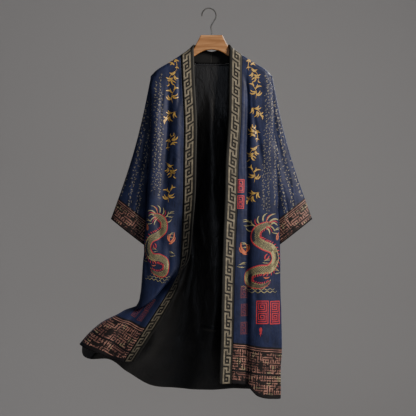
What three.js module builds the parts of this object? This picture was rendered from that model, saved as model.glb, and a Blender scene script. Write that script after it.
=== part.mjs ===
// A long open kimono on a wooden hanger, in millimetres, +Z up. The origin is the point inside the hook's
// bend where the hanger hangs. -Y is the open front. Left and right are the wearer's, so right is at -X.
// The wearer's right front and the back beside it are blown outwards below the knee.
import * as THREE from "three";

// Cloth
const SHELL_HALF = 0.8; // half the wall of the outer cloth
const LINING_HALF = 0.5; // half the wall of the lining
const LINING_GAP = 0.7; // between the outer cloth and the lining
const BAND_HALF = 1.5; // half the wall of the neckband, which is folded double
const SEAM_GAP = 0.3; // between sewn pieces
const HALF_GAP = SEAM_GAP / 2;

// Cut, worn flat on the hanger
const HANG_X = 7; // the hanger's stem and the plans' own x = 0, to one side of the hanging point
const MIDDLE_X = 2; // middle of the garment, from there
const BAND_WIDTH = 45;
const NECK_HALF = 62; // middle to the band's inner edge on the shoulder
const SEAM_HALF = NECK_HALF + BAND_WIDTH;
const SHOULDER_HALF = 212; // middle to the sleeve's seam on the shoulder
const SHOULDER_END_Z = -236;
const UNDERARM_Z = -560;
const RIDGE_DROP = 14; // how far below the shoulder line the cloth has reached its depth
const ARMHOLE_HALF = 11; // half the depth of the open armhole
const ARMHOLE_TAPER = 40; // height over which the armhole closes to the underarm
const SETTLE_DROP = 60; // how far below the shoulder the cloth lies as its plan says
const TURN_END = 2 / 3; // share of the side's turn by which the cloth faces sideways
const TUCK_START = 0.5; // share of the side's turn from which it goes in to the seam
const FRONT_CALM = 0.8; // share across a panel from which its folds die out to the side seam
const BACK_CALM = 0.85;
const LINING_COLUMNS = 5; // columns of the back, at each side, that the lining leaves free

// Height of the shoulder line against the distance from the middle
const SHOULDER_LINE = [
  { out: 0, z: -100 },
  { out: 58, z: -122 },
  { out: 80, z: -143 },
  { out: 107, z: -161 },
  { out: 150, z: -189 },
  { out: 190, z: -214 },
  { out: 212, z: -236 },
];
const NECKLINE_Z = -191; // back neck seam at the middle
const NECKLINE_FLAT = 50; // half the width over which that seam is level
const COLLAR_TOP_Z = -147; // top of the neckband at the middle of the back
const COLLAR_LEAN = 3; // how far the neckband leans back there
const COLLAR_GAP = 0.4; // between the neckband and the back, where the seam turns over the shoulder
const COLLAR_SPREAD = 0.25; // the power by which the neckband's edge reaches its depth behind the shoulder

// Plan of the body at each level: edge is the band's inner edge, turn is the fold at the side, both from
// x = 0; front and back are depths, round is the corner's radius and tuck is how far the side seam sits in.
const LEFT_LEVELS = [
  { z: -1350, edge: 22, turn: 243, front: 72, back: 66, round: 56, tuck: 24 },
  { z: -1160, edge: 30, turn: 248, front: 66, back: 60, round: 52, tuck: 34 },
  { z: -1015, edge: 33, turn: 244, front: 60, back: 55, round: 48, tuck: 44 },
  { z: -850, edge: 38, turn: 242, front: 55, back: 50, round: 42, tuck: 54 },
  { z: -670, edge: 46, turn: 236, front: 48, back: 44, round: 38, tuck: 54 },
  { z: -530, edge: 50, turn: 228, front: 42, back: 38, round: 34, tuck: 32 },
  { z: -392, edge: 59, turn: 222, front: 33, back: 30, round: 30, tuck: 20 },
  { z: -236, edge: 62, turn: 214, front: 20, back: 18, round: 24, tuck: 0 },
  { z: -120, edge: 64, turn: 214, front: 12, back: 12, round: 22, tuck: 0 },
];
const RIGHT_LEVELS = [
  { z: -1350, edge: 62, turn: 244, front: 72, back: 66, round: 52, tuck: 20 },
  { z: -1160, edge: 62, turn: 243, front: 70, back: 60, round: 50, tuck: 26 },
  { z: -1015, edge: 61, turn: 240, front: 66, back: 55, round: 48, tuck: 40 },
  { z: -850, edge: 56, turn: 231, front: 58, back: 50, round: 42, tuck: 52 },
  { z: -670, edge: 51, turn: 222, front: 48, back: 44, round: 38, tuck: 52 },
  { z: -530, edge: 50, turn: 216, front: 42, back: 38, round: 34, tuck: 30 },
  { z: -392, edge: 49, turn: 210, front: 33, back: 30, round: 30, tuck: 16 },
  { z: -236, edge: 57, turn: 210, front: 20, back: 18, round: 24, tuck: 0 },
  { z: -120, edge: 60, turn: 210, front: 12, back: 12, round: 22, tuck: 0 },
];

// Hem heights across the left half, from the band's inner edge (-1), over the band seam (0) and the side
// seam (1), to the middle of the back (2)
const LEFT_HEM = [
  { at: -1, z: -1298 },
  { at: 0, z: -1300 },
  { at: 0.22, z: -1306 },
  { at: 0.4, z: -1342 },
  { at: 0.7, z: -1354 },
  { at: 1, z: -1350 },
  { at: 1.5, z: -1340 },
  { at: 2, z: -1342 },
];
// The blown half, at the same stations: bend is where the cloth leaves the vertical and soft the length over
// which it does, lean its angle in degrees, ahead how far it comes forward for each unit of length, curl the
// size of the cross fold above it and lift how far the blown cloth arches upwards.
const RIGHT_SWEEP = [
  { at: -1, bend: -922, soft: 25, lean: 33, ahead: 0.26, curl: 0, lift: 0, z: -1262 },
  { at: 0, bend: -925, soft: 25, lean: 33, ahead: 0.24, curl: 3, lift: 0, z: -1266 },
  { at: 0.2, bend: -966, soft: 40, lean: 38, ahead: 0.22, curl: 14, lift: 4, z: -1272 },
  { at: 0.45, bend: -1030, soft: 50, lean: 50, ahead: 0.2, curl: 24, lift: 16, z: -1276 },
  { at: 0.8, bend: -1072, soft: 55, lean: 66, ahead: 0.1, curl: 27, lift: 36, z: -1300 },
  { at: 1, bend: -1060, soft: 55, lean: 62, ahead: 0, curl: 0, lift: 30, z: -1316 },
  { at: 1.18, bend: -1040, soft: 55, lean: 46, ahead: 0, curl: 0, lift: 8, z: -1314 },
  { at: 1.3, bend: -1020, soft: 55, lean: 36, ahead: 0, curl: 0, lift: 0, z: -1284 },
  { at: 1.45, bend: -1000, soft: 55, lean: 26, ahead: 0, curl: 0, lift: 0, z: -1308 },
  { at: 1.6, bend: -980, soft: 55, lean: 16, ahead: 0, curl: 0, lift: 0, z: -1340 },
  { at: 1.75, bend: -960, soft: 55, lean: 9, ahead: 0, curl: 0, lift: 0, z: -1342 },
  { at: 2, bend: -960, soft: 55, lean: 0, ahead: 0, curl: 0, lift: 0, z: -1342 },
];
const CURL_LENGTH = 34; // cloth on each side of the cross fold

// How far the front edge turns towards the viewer, in degrees, at each level
const RIGHT_ROLL = [
  { z: -1262, turn: 36 },
  { z: -1100, turn: 34 },
  { z: -985, turn: 52 },
  { z: -924, turn: 84 },
  { z: -865, turn: 50 },
  { z: -740, turn: 34 },
  { z: -600, turn: 12 },
  { z: -300, turn: 0 },
];
const LEFT_ROLL = [
  { z: -1350, turn: 24 },
  { z: -900, turn: 18 },
  { z: -400, turn: 0 },
];
const ROLL_REACH = 0.25; // how far into the panel that turn reaches, as a share of its width
const ROLL_POWER = 1.5; // how fast it grows towards the edge

// Long folds: at and width are shares across the panel, depth goes inwards, and each fades in below top
// and out above foot. drift moves a fold across the panel for each metre down.
const LEFT_FRONT_FOLDS = [
  { at: 0.14, width: 0.055, depth: 12, top: -190, foot: -1500, drift: 0.06 },
  { at: 0.36, width: 0.13, depth: -6, top: -500, foot: -1500, drift: 0.08 },
  { at: 0.66, width: 0.1, depth: 6, top: -700, foot: -1500, drift: -0.06 },
];
const RIGHT_FRONT_FOLDS = [
  { at: 0.15, width: 0.08, depth: -5, top: -200, foot: -760, drift: 0 },
  { at: 0.38, width: 0.09, depth: 12, top: -190, foot: -800, drift: 0.02 },
  { at: 0.64, width: 0.11, depth: -6, top: -250, foot: -1000, drift: 0 },
  { at: 0.06, width: 0.14, depth: 14, top: -640, foot: -960, drift: 0 },
  { at: 0.3, width: 0.12, depth: 7, top: -1010, foot: -1500, drift: 0 },
];
const BACK_FOLDS = [
  { at: -0.75, width: 0.09, depth: 7, top: -420, foot: -1500, drift: 0.05 },
  { at: -0.48, width: 0.1, depth: 12, top: -330, foot: -1500, drift: -0.1 },
  { at: -0.22, width: 0.09, depth: -9, top: -260, foot: -1500, drift: -0.04 },
  { at: 0.0, width: 0.1, depth: 12, top: -250, foot: -1500, drift: 0.02 },
  { at: 0.25, width: 0.09, depth: -9, top: -300, foot: -1500, drift: 0.02 },
  { at: 0.5, width: 0.1, depth: 11, top: -330, foot: -1500, drift: 0.05 },
  { at: 0.75, width: 0.09, depth: 6, top: -420, foot: -1500, drift: -0.06 },
];
const FOLD_FADE = 220; // height over which a fold appears or goes

// Sleeves, from the middle of the garment
const CUFF_OUTER = { out: 352, z: -735 };
const CUFF_INNER = { out: 218, z: -840 };
const CUFF_HALF = 19; // half the depth of the open cuff
const SLEEVE_SAG = 14; // how far the outer edge hangs inside a straight line
const SLEEVE_BULGE = 7; // extra half depth at mid sleeve
const SLEEVE_FLARE = 0.45; // how much sooner the inner edge stands away from the body
const SLEEVE_LAP = 1.7; // how far the sleeve's ring sits inside the armhole
const UNDERARM_LAP = 4; // how much further up it sits at the underarm
const UNDERARM_FROM = 0.8; // share of the armhole from which that starts
const UNDERARM_FLAT = 0.5; // how much flatter the ring is at the underarm
const SLEEVE_ROUND = 0.7; // the power that rounds the sleeve's section
const SEWN_POWER = 1.5; // how soon the armhole's own depth is lost down the sleeve
const FOLD_SHARE = 0.6; // how deep a sleeve's fold goes on each face
const SLEEVE_STEPS = 10;
const SLEEVE_PARTED = 6; // the step at which a sleeve's two nodes part
const SLEEVE_CROWD = 1.3; // the power that sets the steps closer near the armhole
const SLEEVE_FOLDS = [
  { at: 0.3, width: 0.12, depth: 6 },
  { at: 0.62, width: 0.12, depth: -5 },
];

// Rows of cloth, as levels on the side seam down to the underarm, then shares of the rest
const ARM_ROWS = [-236, -238, -242, -250, -290, -350, -425, -490, -522, -542, -554, -560];
// The fronts and the back are each in two nodes, parted at this row, just below the underarm.
const PARTED_ROW = ARM_ROWS.length;
const LOWER_ROWS = [0.08, 0.18, 0.29, 0.4, 0.5, 0.58, 0.66, 0.74, 0.82, 0.91, 1];
const BLOWN_ROWS = [
  0.04, 0.08, 0.13, 0.18, 0.235, 0.29, 0.35, 0.4, 0.44, 0.49, 0.525, 0.55, 0.572, 0.594, 0.616, 0.638, 0.66,
  0.684, 0.71, 0.75, 0.8, 0.87, 0.93, 1,
];
const FRONT_COLUMNS = [
  0, 0.06, 0.1, 0.14, 0.18, 0.23, 0.31, 0.39, 0.47, 0.56, 0.65, 0.73, 0.8, 0.86, 0.91, 0.95, 0.98, 1,
];
const BAND_COLUMNS = [-1, -0.5, 0];
const BACK_COLUMNS = [
  0, 0.1, 0.2, 0.3, 0.38, 0.45, 0.505, 0.57, 0.63, 0.69, 0.74, 0.79, 0.84, 0.885, 0.925, 0.96, 0.985, 1,
];

// Hanger
const HOOK_WIRE = 2.4; // radius of the wire
const HOOK_BEND = 25; // radius of the wire's own line
const HOOK_START = -42; // degrees round the bend from its level side
const HOOK_TIP = 186;
const HOOK_STEP = 19; // degrees from one point of the bend to the next
const STEM_TOP_Z = -76; // the stem is straight up to here
const NECK_Z = -62; // and meets the bend below here
const PATH_STEPS = 40;
const WIRE_SIDES = 8;
const HANGER_HALF = 6; // half the thickness of the wood
const HANGER_EDGE = 3; // rounding of its edges
const HANGER_TOP = [
  { out: 0, z: -92 },
  { out: 38, z: -92 },
  { out: 46, z: -108 },
  { out: 54, z: -123 },
  { out: 62, z: -138 },
  { out: 72, z: -150 },
  { out: 84, z: -157 },
  { out: 105, z: -168 },
  { out: 128, z: -179 },
  { out: 150, z: -191.6 },
  { out: 172, z: -204.6 },
  { out: 186, z: -217 },
  { out: 194, z: -226 },
];
const HANGER_END = 199;
const HANGER_END_TOP = 5; // below the last point of the top
const HANGER_END_FOOT = 15;
const HANGER_UNDER = [
  { out: 0, z: -142 },
  { out: 22, z: -145 },
  { out: 40, z: -153 },
  { out: 64, z: -168 },
  { out: 105, z: -196 },
  { out: 150, z: -219 },
  { out: 190, z: -243 },
];

const DEGREE = Math.PI / 180;
const QUARTER = Math.PI / 2;
const [X, Y, Z] = [0, 1, 2];
const clamp = (v, low, high) => Math.min(high, Math.max(low, v));

// 0 below a, 1 above b, eased between.
function step(a, b, v) {
  const t = clamp((v - a) / (b - a), 0, 1);
  return t * t * (3 - 2 * t);
}

// A smooth curve through a table's rows: the column called name, where the column called key has the
// value at.
function read(rows, key, name, at) {
  const sign = rows[1][key] > rows[0][key] ? 1 : -1;
  const last = rows.length - 1;
  let i = 0;
  while (i < last - 1 && sign * at > sign * rows[i + 1][key]) i++;
  const slope = (k) => {
    const a = rows[Math.max(k - 1, 0)];
    const b = rows[Math.min(k + 1, last)];
    return (b[name] - a[name]) / (b[key] - a[key]);
  };
  const from = rows[i];
  const to = rows[i + 1];
  const span = to[key] - from[key];
  const t = clamp((at - from[key]) / span, 0, 1);
  const t2 = t * t;
  const t3 = t2 * t;
  return (
    (2 * t3 - 3 * t2 + 1) * from[name] +
    (t3 - 2 * t2 + t) * span * slope(i) +
    (3 * t2 - 2 * t3) * to[name] +
    (t3 - t2) * span * slope(i + 1)
  );
}

const shoulderZ = (out) => read(SHOULDER_LINE, "out", "z", out);

// Quarter ellipse from 0 on the shoulder line to 1 below it.
function rise(drop) {
  const s = 1 - clamp(drop / RIDGE_DROP, 0, 1);
  return Math.sqrt(1 - s * s);
}

// Half the depth of the open armhole at a level.
function armhole(z) {
  const closing = 1 - clamp((z - UNDERARM_Z) / ARMHOLE_TAPER, 0, 1);
  return ARMHOLE_HALF * rise(SHOULDER_END_Z - z) * Math.sqrt(1 - closing * closing);
}

const LEFT = { sign: 1, levels: LEFT_LEVELS, hem: LEFT_HEM, roll: LEFT_ROLL, folds: LEFT_FRONT_FOLDS };
const RIGHT = {
  sign: -1,
  levels: RIGHT_LEVELS,
  hem: RIGHT_SWEEP,
  roll: RIGHT_ROLL,
  folds: RIGHT_FRONT_FOLDS,
  sweep: RIGHT_SWEEP,
};

// Sum of the long folds at a share across the panel and a level.
function foldDepth(folds, across, z) {
  let sum = 0;
  for (const f of folds) {
    const away = (across - f.at - (f.drift * (f.top - z)) / 1000) / f.width;
    const shown = step(f.top, f.top - FOLD_FADE, z) * (1 - step(f.foot + FOLD_FADE, f.foot, z));
    sum += f.depth * shown * Math.exp(-away * away);
  }
  return sum;
}

// Plan of one panel at a level: length mm along the cloth from start, with the flat run, the turn at the
// side and the tuck to the seam. Gives the point and its outward direction, for the front (face -1) or back.
function plan(side, start, share, bandPart, z, depthName, face) {
  const at = (name) => read(side.levels, "z", name, z);
  const depth = at(depthName);
  const turn = at("turn");
  const round = at("round");
  const tuck = at("tuck");
  const flat = turn - round - start;
  const arc = QUARTER * Math.sqrt((round * round + depth * depth) / 2) + tuck / 2;
  const length = share < 0 ? bandPart * (1 + share) : bandPart + share * (flat + arc - bandPart);
  if (length <= flat) return { x: start + length, y: face * depth, nx: 0, ny: face };
  const w = (length - flat) / arc;
  const seam = armhole(z) + HALF_GAP;
  const swing = Math.min(w / TURN_END, 1) * QUARTER;
  return {
    x: turn - round + round * Math.sin(swing) - tuck * step(TUCK_START, 1, w),
    y: face * (seam + (depth - seam) * Math.cos(w * QUARTER)),
    nx: Math.sin(w * QUARTER),
    ny: face * Math.cos(w * QUARTER),
  };
}

// Leans the blown cloth over beyond its bend, arches it, and lays the cross fold above the bend.
function sweep(side, station, p) {
  if (!side.sweep) return p;
  const at = (name) => read(side.sweep, "at", name, station);
  const beyond = at("bend") - p.z;
  const length = (beyond + Math.hypot(beyond, at("soft"))) / 2;
  const lean = at("lean") * DEGREE;
  const t = beyond / CURL_LENGTH;
  const curl = at("curl") * t * Math.exp((1 - t * t) / 2);
  const lift = at("lift") * Math.sin(Math.PI * clamp(beyond / (at("bend") - at("z")), 0, 1));
  return {
    x: p.x + length * Math.sin(lean) + lift * Math.cos(lean),
    y: p.y - at("ahead") * length + curl,
    z: p.z + length * (1 - Math.cos(lean)) + curl * Math.cos(lean) + lift * Math.sin(lean),
  };
}

const toVector = (side, p) => new THREE.Vector3(side.sign * p.x + HANG_X, p.y, p.z);

// A point of a front: share is -1 to 0 across the band and 0 to 1 across the panel; row is 0 on the
// shoulder line and 1 at the hem.
function frontPoint(side, share, row) {
  const out = share < 0 ? SEAM_HALF + share * BAND_WIDTH : SEAM_HALF + share * (SHOULDER_HALF - SEAM_HALF);
  const top = shoulderZ(out);
  const z = top + row * (read(side.hem, "at", "z", share) - top);
  const edge = read(side.levels, "z", "edge", z);
  const p = plan(side, edge, share, BAND_WIDTH, z, "front", -1);
  const settled = step(0, SETTLE_DROP, top - z);
  const x = p.x * settled + (out + side.sign * MIDDLE_X) * (1 - settled);
  const raised = rise(top - z);
  const y = share === 1 ? p.y : -HALF_GAP + (p.y + HALF_GAP) * raised;
  const calm = (1 - step(FRONT_CALM, 1, share)) * step(-1, 0, share);
  const fold = foldDepth(side.folds, share, z) * calm;
  const turn = read(side.roll, "z", "turn", z) * DEGREE;
  const reached = clamp((ROLL_REACH - share) / (ROLL_REACH + 1), 0, 1);
  const rolled = BAND_WIDTH * Math.pow(reached, ROLL_POWER);
  const hung = {
    x: x - fold * p.nx + rolled * (1 - Math.cos(turn)),
    y: y - fold * p.ny - rolled * Math.sin(turn),
    z,
  };
  return toVector(side, sweep(side, share, hung));
}

// Height of the back's top edge: the neck seam in the middle, then the shoulder line.
const backTop = (out) =>
  out >= SEAM_HALF
    ? shoulderZ(out)
    : NECKLINE_Z + (shoulderZ(SEAM_HALF) - NECKLINE_Z) * step(NECKLINE_FLAT, SEAM_HALF, out);

// A point of the back: share is 0 in the middle and 1 at the side seam.
function backPoint(side, share, row) {
  const out = share * SHOULDER_HALF;
  const top = backTop(out);
  const z = top + row * (read(side.hem, "at", "z", 2 - share) - top);
  const middle = side.sign * MIDDLE_X;
  const p = plan(side, middle, share, 0, z, "back", 1);
  const settled = step(0, SETTLE_DROP, top - z);
  const x = p.x * settled + (out + middle) * (1 - settled);
  const y = share === 1 ? p.y : HALF_GAP + (p.y - HALF_GAP) * rise(shoulderZ(out) - z);
  const fold = foldDepth(BACK_FOLDS, side.sign * share, z) * (1 - step(BACK_CALM, 1, share));
  return toVector(side, sweep(side, 2 - share, { x: x - fold * p.nx, y: y - fold * p.ny, z }));
}

// A point of the neckband behind the neck: share as on the front's band, out from the middle on its seam.
function collarPoint(side, share, out) {
  const seam = backPoint(side, out / SHOULDER_HALF, 0);
  const near = 1 - out / SEAM_HALF;
  const raised = Math.pow(near, COLLAR_SPREAD);
  const inner = new THREE.Vector3(
    HANG_X + MIDDLE_X + side.sign * NECK_HALF * (out / SEAM_HALF),
    (seam.y + COLLAR_LEAN) * raised,
    shoulderZ(NECK_HALF) + (COLLAR_TOP_Z - shoulderZ(NECK_HALF)) * step(0, 1, near),
  );
  seam.add(inner.clone().sub(seam).setLength(COLLAR_GAP));
  return seam.lerp(inner, -share);
}

// A point of a sleeve: share goes from the outer edge (0) to the underarm (1) on the front (face -1) or
// the back, and along from the armhole to the cuff.
function sleevePoint(side, share, face, along) {
  const level = SHOULDER_END_Z + share * (UNDERARM_Z - SHOULDER_END_Z);
  const lapped = level + SLEEVE_LAP * (2 * share - 1) + UNDERARM_LAP * step(UNDERARM_FROM, 1, share);
  const at = (name) => read(side.levels, "z", name, level);
  const middle = side.sign * MIDDLE_X;
  const fromX = at("turn") - at("tuck") + SEAM_GAP;
  const flattened = 1 - UNDERARM_FLAT * step(BACK_CALM, 1, share);
  const fromY = armhole(level) * (1 - SLEEVE_LAP / ARMHOLE_HALF) * flattened;
  const toX = middle + CUFF_OUTER.out + share * (CUFF_INNER.out - CUFF_OUTER.out);
  const toZ = CUFF_OUTER.z + share * (CUFF_INNER.z - CUFF_OUTER.z);
  const open = Math.pow(Math.sin(Math.PI * clamp(share, 0, 1)), SLEEVE_ROUND);
  const swell = Math.sin(Math.PI * along);
  let fold = 0;
  for (const f of SLEEVE_FOLDS) {
    const away = (share - f.at) / f.width;
    fold += f.depth * Math.exp(-away * away) * swell;
  }
  const outwards = Math.pow(along, 1 - SLEEVE_FLARE * share);
  const x = fromX + outwards * (toX - fromX) - SLEEVE_SAG * swell * (1 - share);
  const sewn = fromY * Math.pow(1 - along, SEWN_POWER);
  const depth = sewn + (along * CUFF_HALF + SLEEVE_BULGE * swell - FOLD_SHARE * fold) * open;
  return toVector(side, { x, y: face * depth, z: lapped + along * (toZ - lapped) });
}

// Rows of a side's cloth, as shares from the shoulder line to the hem.
function rowsOf(side, lower) {
  const hem = read(side.hem, "at", "z", 1);
  const whole = hem - SHOULDER_END_Z;
  const below = lower.map((share) => UNDERARM_Z + share * (hem - UNDERARM_Z));
  return [...ARM_ROWS, ...below].map((z) => (z - SHOULDER_END_Z) / whole);
}

// Outward direction at each point of a grid, from its neighbours. ring joins the last column to the first.
function directions(grid, facing, ring) {
  const rows = grid.length;
  const columns = grid[0].length;
  return grid.map((line, i) =>
    line.map((point, j) => {
      const up = grid[Math.max(i - 1, 0)][j];
      const down = grid[Math.min(i + 1, rows - 1)][j];
      const before = ring ? line[(j + columns - 1) % columns] : line[Math.max(j - 1, 0)];
      const after = ring ? line[(j + 1) % columns] : line[Math.min(j + 1, columns - 1)];
      const across = after.clone().sub(before);
      return down.clone().sub(up).cross(across).multiplyScalar(facing).normalize();
    }),
  );
}

// Turns directions into a plane across the named axis, so that the cut edges there stand square to it.
function square(line, axis) {
  line.forEach((n) => n.setComponent(axis, 0).normalize());
}

// A wall of cloth through a grid of points, from outer to inner mm along its outward directions.
function wall(grid, normal, facing, outer, inner, ring = false) {
  const rows = grid.length;
  const columns = grid[0].length;
  const points = [];
  for (const offset of [outer, inner])
    for (let i = 0; i < rows; i++)
      for (let j = 0; j < columns; j++)
        points.push(...grid[i][j].clone().addScaledVector(normal[i][j], offset).toArray());
  const index = (layer, i, j) => layer * rows * columns + i * columns + (j % columns);
  const faces = [];
  const quad = (a, b, c, d) => faces.push(...(facing > 0 ? [a, b, c, a, c, d] : [a, c, b, a, d, c]));
  const last = ring ? columns : columns - 1;
  for (let i = 0; i < rows - 1; i++)
    for (let j = 0; j < last; j++) {
      quad(index(0, i, j), index(0, i + 1, j), index(0, i + 1, j + 1), index(0, i, j + 1));
      quad(index(1, i, j), index(1, i, j + 1), index(1, i + 1, j + 1), index(1, i + 1, j));
    }
  for (let j = 0; j < last; j++) {
    quad(index(0, 0, j), index(0, 0, j + 1), index(1, 0, j + 1), index(1, 0, j));
    quad(index(0, rows - 1, j), index(1, rows - 1, j), index(1, rows - 1, j + 1), index(0, rows - 1, j + 1));
  }
  if (!ring)
    for (let i = 0; i < rows - 1; i++) {
      quad(index(0, i, 0), index(1, i, 0), index(1, i + 1, 0), index(0, i + 1, 0));
      const j = columns - 1;
      quad(index(0, i, j), index(0, i + 1, j), index(1, i + 1, j), index(1, i, j));
    }
  const geometry = new THREE.BufferGeometry();
  geometry.setAttribute("position", new THREE.Float32BufferAttribute(points, 3));
  geometry.setIndex(faces);
  return geometry;
}

// Parts a grid at a row into the walls above and below it, a seam gap apart.
function parted(grid, normal, at, build) {
  const shift = grid[at].map((_, j) => grid[at + 1][j].clone().sub(grid[at - 1][j]).setLength(HALF_GAP));
  const above = [...grid.slice(0, at), grid[at].map((point, j) => point.clone().sub(shift[j]))];
  const below = [grid[at].map((point, j) => point.clone().add(shift[j])), ...grid.slice(at + 1)];
  return [build(above, normal.slice(0, at + 1)), build(below, normal.slice(at))];
}

// The front and the band's front run of one side, as one cloth with a seam at share 0.
function frontCloth(side, lower) {
  const shares = [...BAND_COLUMNS.slice(0, -1), ...FRONT_COLUMNS];
  const grid = rowsOf(side, lower).map((row) => shares.map((share) => frontPoint(side, share, row)));
  const normal = directions(grid, side.sign);
  square(normal[0], Y);
  square(
    normal.map((line) => line[line.length - 1]),
    Y,
  );
  return { grid, normal };
}

// Half a seam gap along the cloth, from the band towards the panel.
const seamShift = (line, seam) => line[seam + 1].clone().sub(line[seam - 1]).setLength(HALF_GAP);

function frontPanel(side, lower) {
  const cloth = frontCloth(side, lower);
  const seam = BAND_COLUMNS.length - 1;
  cloth.grid.forEach((line) => line[seam].add(seamShift(line, seam)));
  const grid = cloth.grid.map((line) => line.slice(seam));
  const normal = cloth.normal.map((line) => line.slice(seam));
  return parted(grid, normal, PARTED_ROW, (part, n) => wall(part, n, side.sign, SHELL_HALF, -SHELL_HALF));
}

// The neckband of one side, from the hem to the shoulder line and from there to the middle of the back.
function neckband(side, lower) {
  const cloth = frontCloth(side, lower);
  const seam = BAND_COLUMNS.length - 1;
  cloth.grid.forEach((line) => line[seam].sub(seamShift(line, seam)));
  const front = cloth.grid.map((line) => line.slice(0, seam + 1)).reverse();
  const outs = BACK_COLUMNS.map((share) => share * SHOULDER_HALF).filter((out) => out < SEAM_HALF - 1);
  const behind = outs.reverse().map((out) => BAND_COLUMNS.map((share) => collarPoint(side, share, out)));
  const grid = [...front, ...behind];
  const normal = directions(grid, -side.sign);
  cloth.normal.forEach((line, i) => {
    normal[front.length - 1 - i][seam] = line[seam];
  });
  square(
    normal.slice(front.length).map((line) => line[seam]),
    Z,
  );
  square(normal[grid.length - 1], X);
  grid[grid.length - 1].forEach((point) => {
    point.x += side.sign * HALF_GAP;
  });
  const build = (part, n) => wall(part, n, -side.sign, BAND_HALF, -BAND_HALF);
  return parted(grid, normal, front.length - 1, build);
}

function backCloth() {
  const rows = rowsOf(LEFT, LOWER_ROWS);
  const blown = rowsOf(RIGHT, LOWER_ROWS);
  const grid = rows.map((row, i) => [
    ...[...BACK_COLUMNS].reverse().map((share) => backPoint(RIGHT, share, blown[i])),
    ...BACK_COLUMNS.slice(1).map((share) => backPoint(LEFT, share, row)),
  ]);
  const normal = directions(grid, -1);
  const middle = BACK_COLUMNS.length - 1;
  normal[0].forEach((n, j) => {
    const out = BACK_COLUMNS[Math.abs(j - middle)] * SHOULDER_HALF;
    square([n], out > SEAM_HALF - 1 ? Y : Z);
  });
  square(
    normal.flatMap((line) => [line[0], line[line.length - 1]]),
    Y,
  );
  return { grid, normal };
}

function backPanel() {
  const { grid, normal } = backCloth();
  return parted(grid, normal, PARTED_ROW, (part, n) => wall(part, n, -1, SHELL_HALF, -SHELL_HALF));
}

// The lining lies inside the back, clear of it, a little short of its edges.
function backLining() {
  const inside = (lines) => lines.slice(1).map((line) => line.slice(LINING_COLUMNS, -LINING_COLUMNS));
  const { grid, normal } = backCloth();
  const outer = -SHELL_HALF - LINING_GAP;
  return wall(inside(grid), inside(normal), -1, outer, outer - 2 * LINING_HALF);
}

function sleeve(side) {
  const shares = ARM_ROWS.map((z) => (z - SHOULDER_END_Z) / (UNDERARM_Z - SHOULDER_END_Z));
  const grid = [];
  for (let k = 0; k <= SLEEVE_STEPS; k++) {
    const along = Math.pow(k / SLEEVE_STEPS, SLEEVE_CROWD);
    const front = shares.map((share) => sleevePoint(side, share, -1, along));
    const behind = shares.slice(1, -1).map((share) => sleevePoint(side, share, 1, along));
    grid.push([...front, ...behind.reverse()]);
  }
  const normal = directions(grid, -side.sign, true);
  square(normal[0], X);
  const build = (part, n) => wall(part, n, -side.sign, SHELL_HALF, -SHELL_HALF, true);
  return parted(grid, normal, SLEEVE_PARTED, build);
}

// The wooden hanger: its outline from the front, rounded over at the edges.
function hangerWood() {
  const tip = HANGER_TOP[HANGER_TOP.length - 1].z;
  const end = [
    { out: HANGER_END, z: tip - HANGER_END_TOP },
    { out: HANGER_END, z: tip - HANGER_END_FOOT },
  ];
  const half = [...HANGER_TOP, ...end, ...[...HANGER_UNDER].reverse()];
  const outline = half.map((p) => new THREE.Vector2(p.out, p.z));
  for (const p of [...half].reverse().slice(1, -1)) outline.push(new THREE.Vector2(-p.out, p.z));
  const shape = new THREE.Shape(outline);
  const geometry = new THREE.ExtrudeGeometry(shape, {
    depth: 2 * (HANGER_HALF - HANGER_EDGE),
    bevelThickness: HANGER_EDGE,
    bevelSize: HANGER_EDGE,
    bevelOffset: -HANGER_EDGE,
    bevelSegments: 2,
    curveSegments: 4,
  });
  geometry.rotateX(Math.PI / 2);
  geometry.translate(HANG_X + MIDDLE_X, HANGER_HALF - HANGER_EDGE, 0);
  return geometry;
}

// The hook: a stem up from the wood and a bend over the hanging point.
function hangerHook() {
  const stemFoot = new THREE.Vector3(HANG_X + MIDDLE_X, 0, HANGER_TOP[0].z + SEAM_GAP);
  const centre = new THREE.Vector3(0, 0, -HOOK_BEND + HOOK_WIRE);
  const stemTop = new THREE.Vector3(HANG_X + MIDDLE_X, 0, STEM_TOP_Z);
  const points = [stemFoot, stemTop, new THREE.Vector3(HANG_X, 0, NECK_Z)];
  for (let turn = HOOK_START; turn <= HOOK_TIP; turn += HOOK_STEP) {
    const a = turn * DEGREE;
    points.push(new THREE.Vector3(HOOK_BEND * Math.cos(a), 0, HOOK_BEND * Math.sin(a)).add(centre));
  }
  const path = new THREE.CatmullRomCurve3(points, false, "centripetal");
  const section = new THREE.Shape(
    Array.from({ length: WIRE_SIDES }, (_, k) => {
      const a = ((k + 0.5) / WIRE_SIDES) * 2 * Math.PI;
      return new THREE.Vector2(HOOK_WIRE * Math.cos(a), HOOK_WIRE * Math.sin(a));
    }),
  );
  return new THREE.ExtrudeGeometry(section, { steps: PATH_STEPS, bevelEnabled: false, extrudePath: path });
}

function cloth(color, roughness) {
  return new THREE.MeshStandardMaterial({ color, roughness, metalness: 0 });
}
const navy = cloth(0x1e2747, 0.55);
const black = cloth(0x131414, 0.5);
const keyBand = cloth(0x2a2a28, 0.6);
const wood = new THREE.MeshStandardMaterial({ color: 0xb07c4c, roughness: 0.45, metalness: 0 });
const steel = new THREE.MeshStandardMaterial({ color: 0x8a8a86, roughness: 0.3, metalness: 1 });

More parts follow.
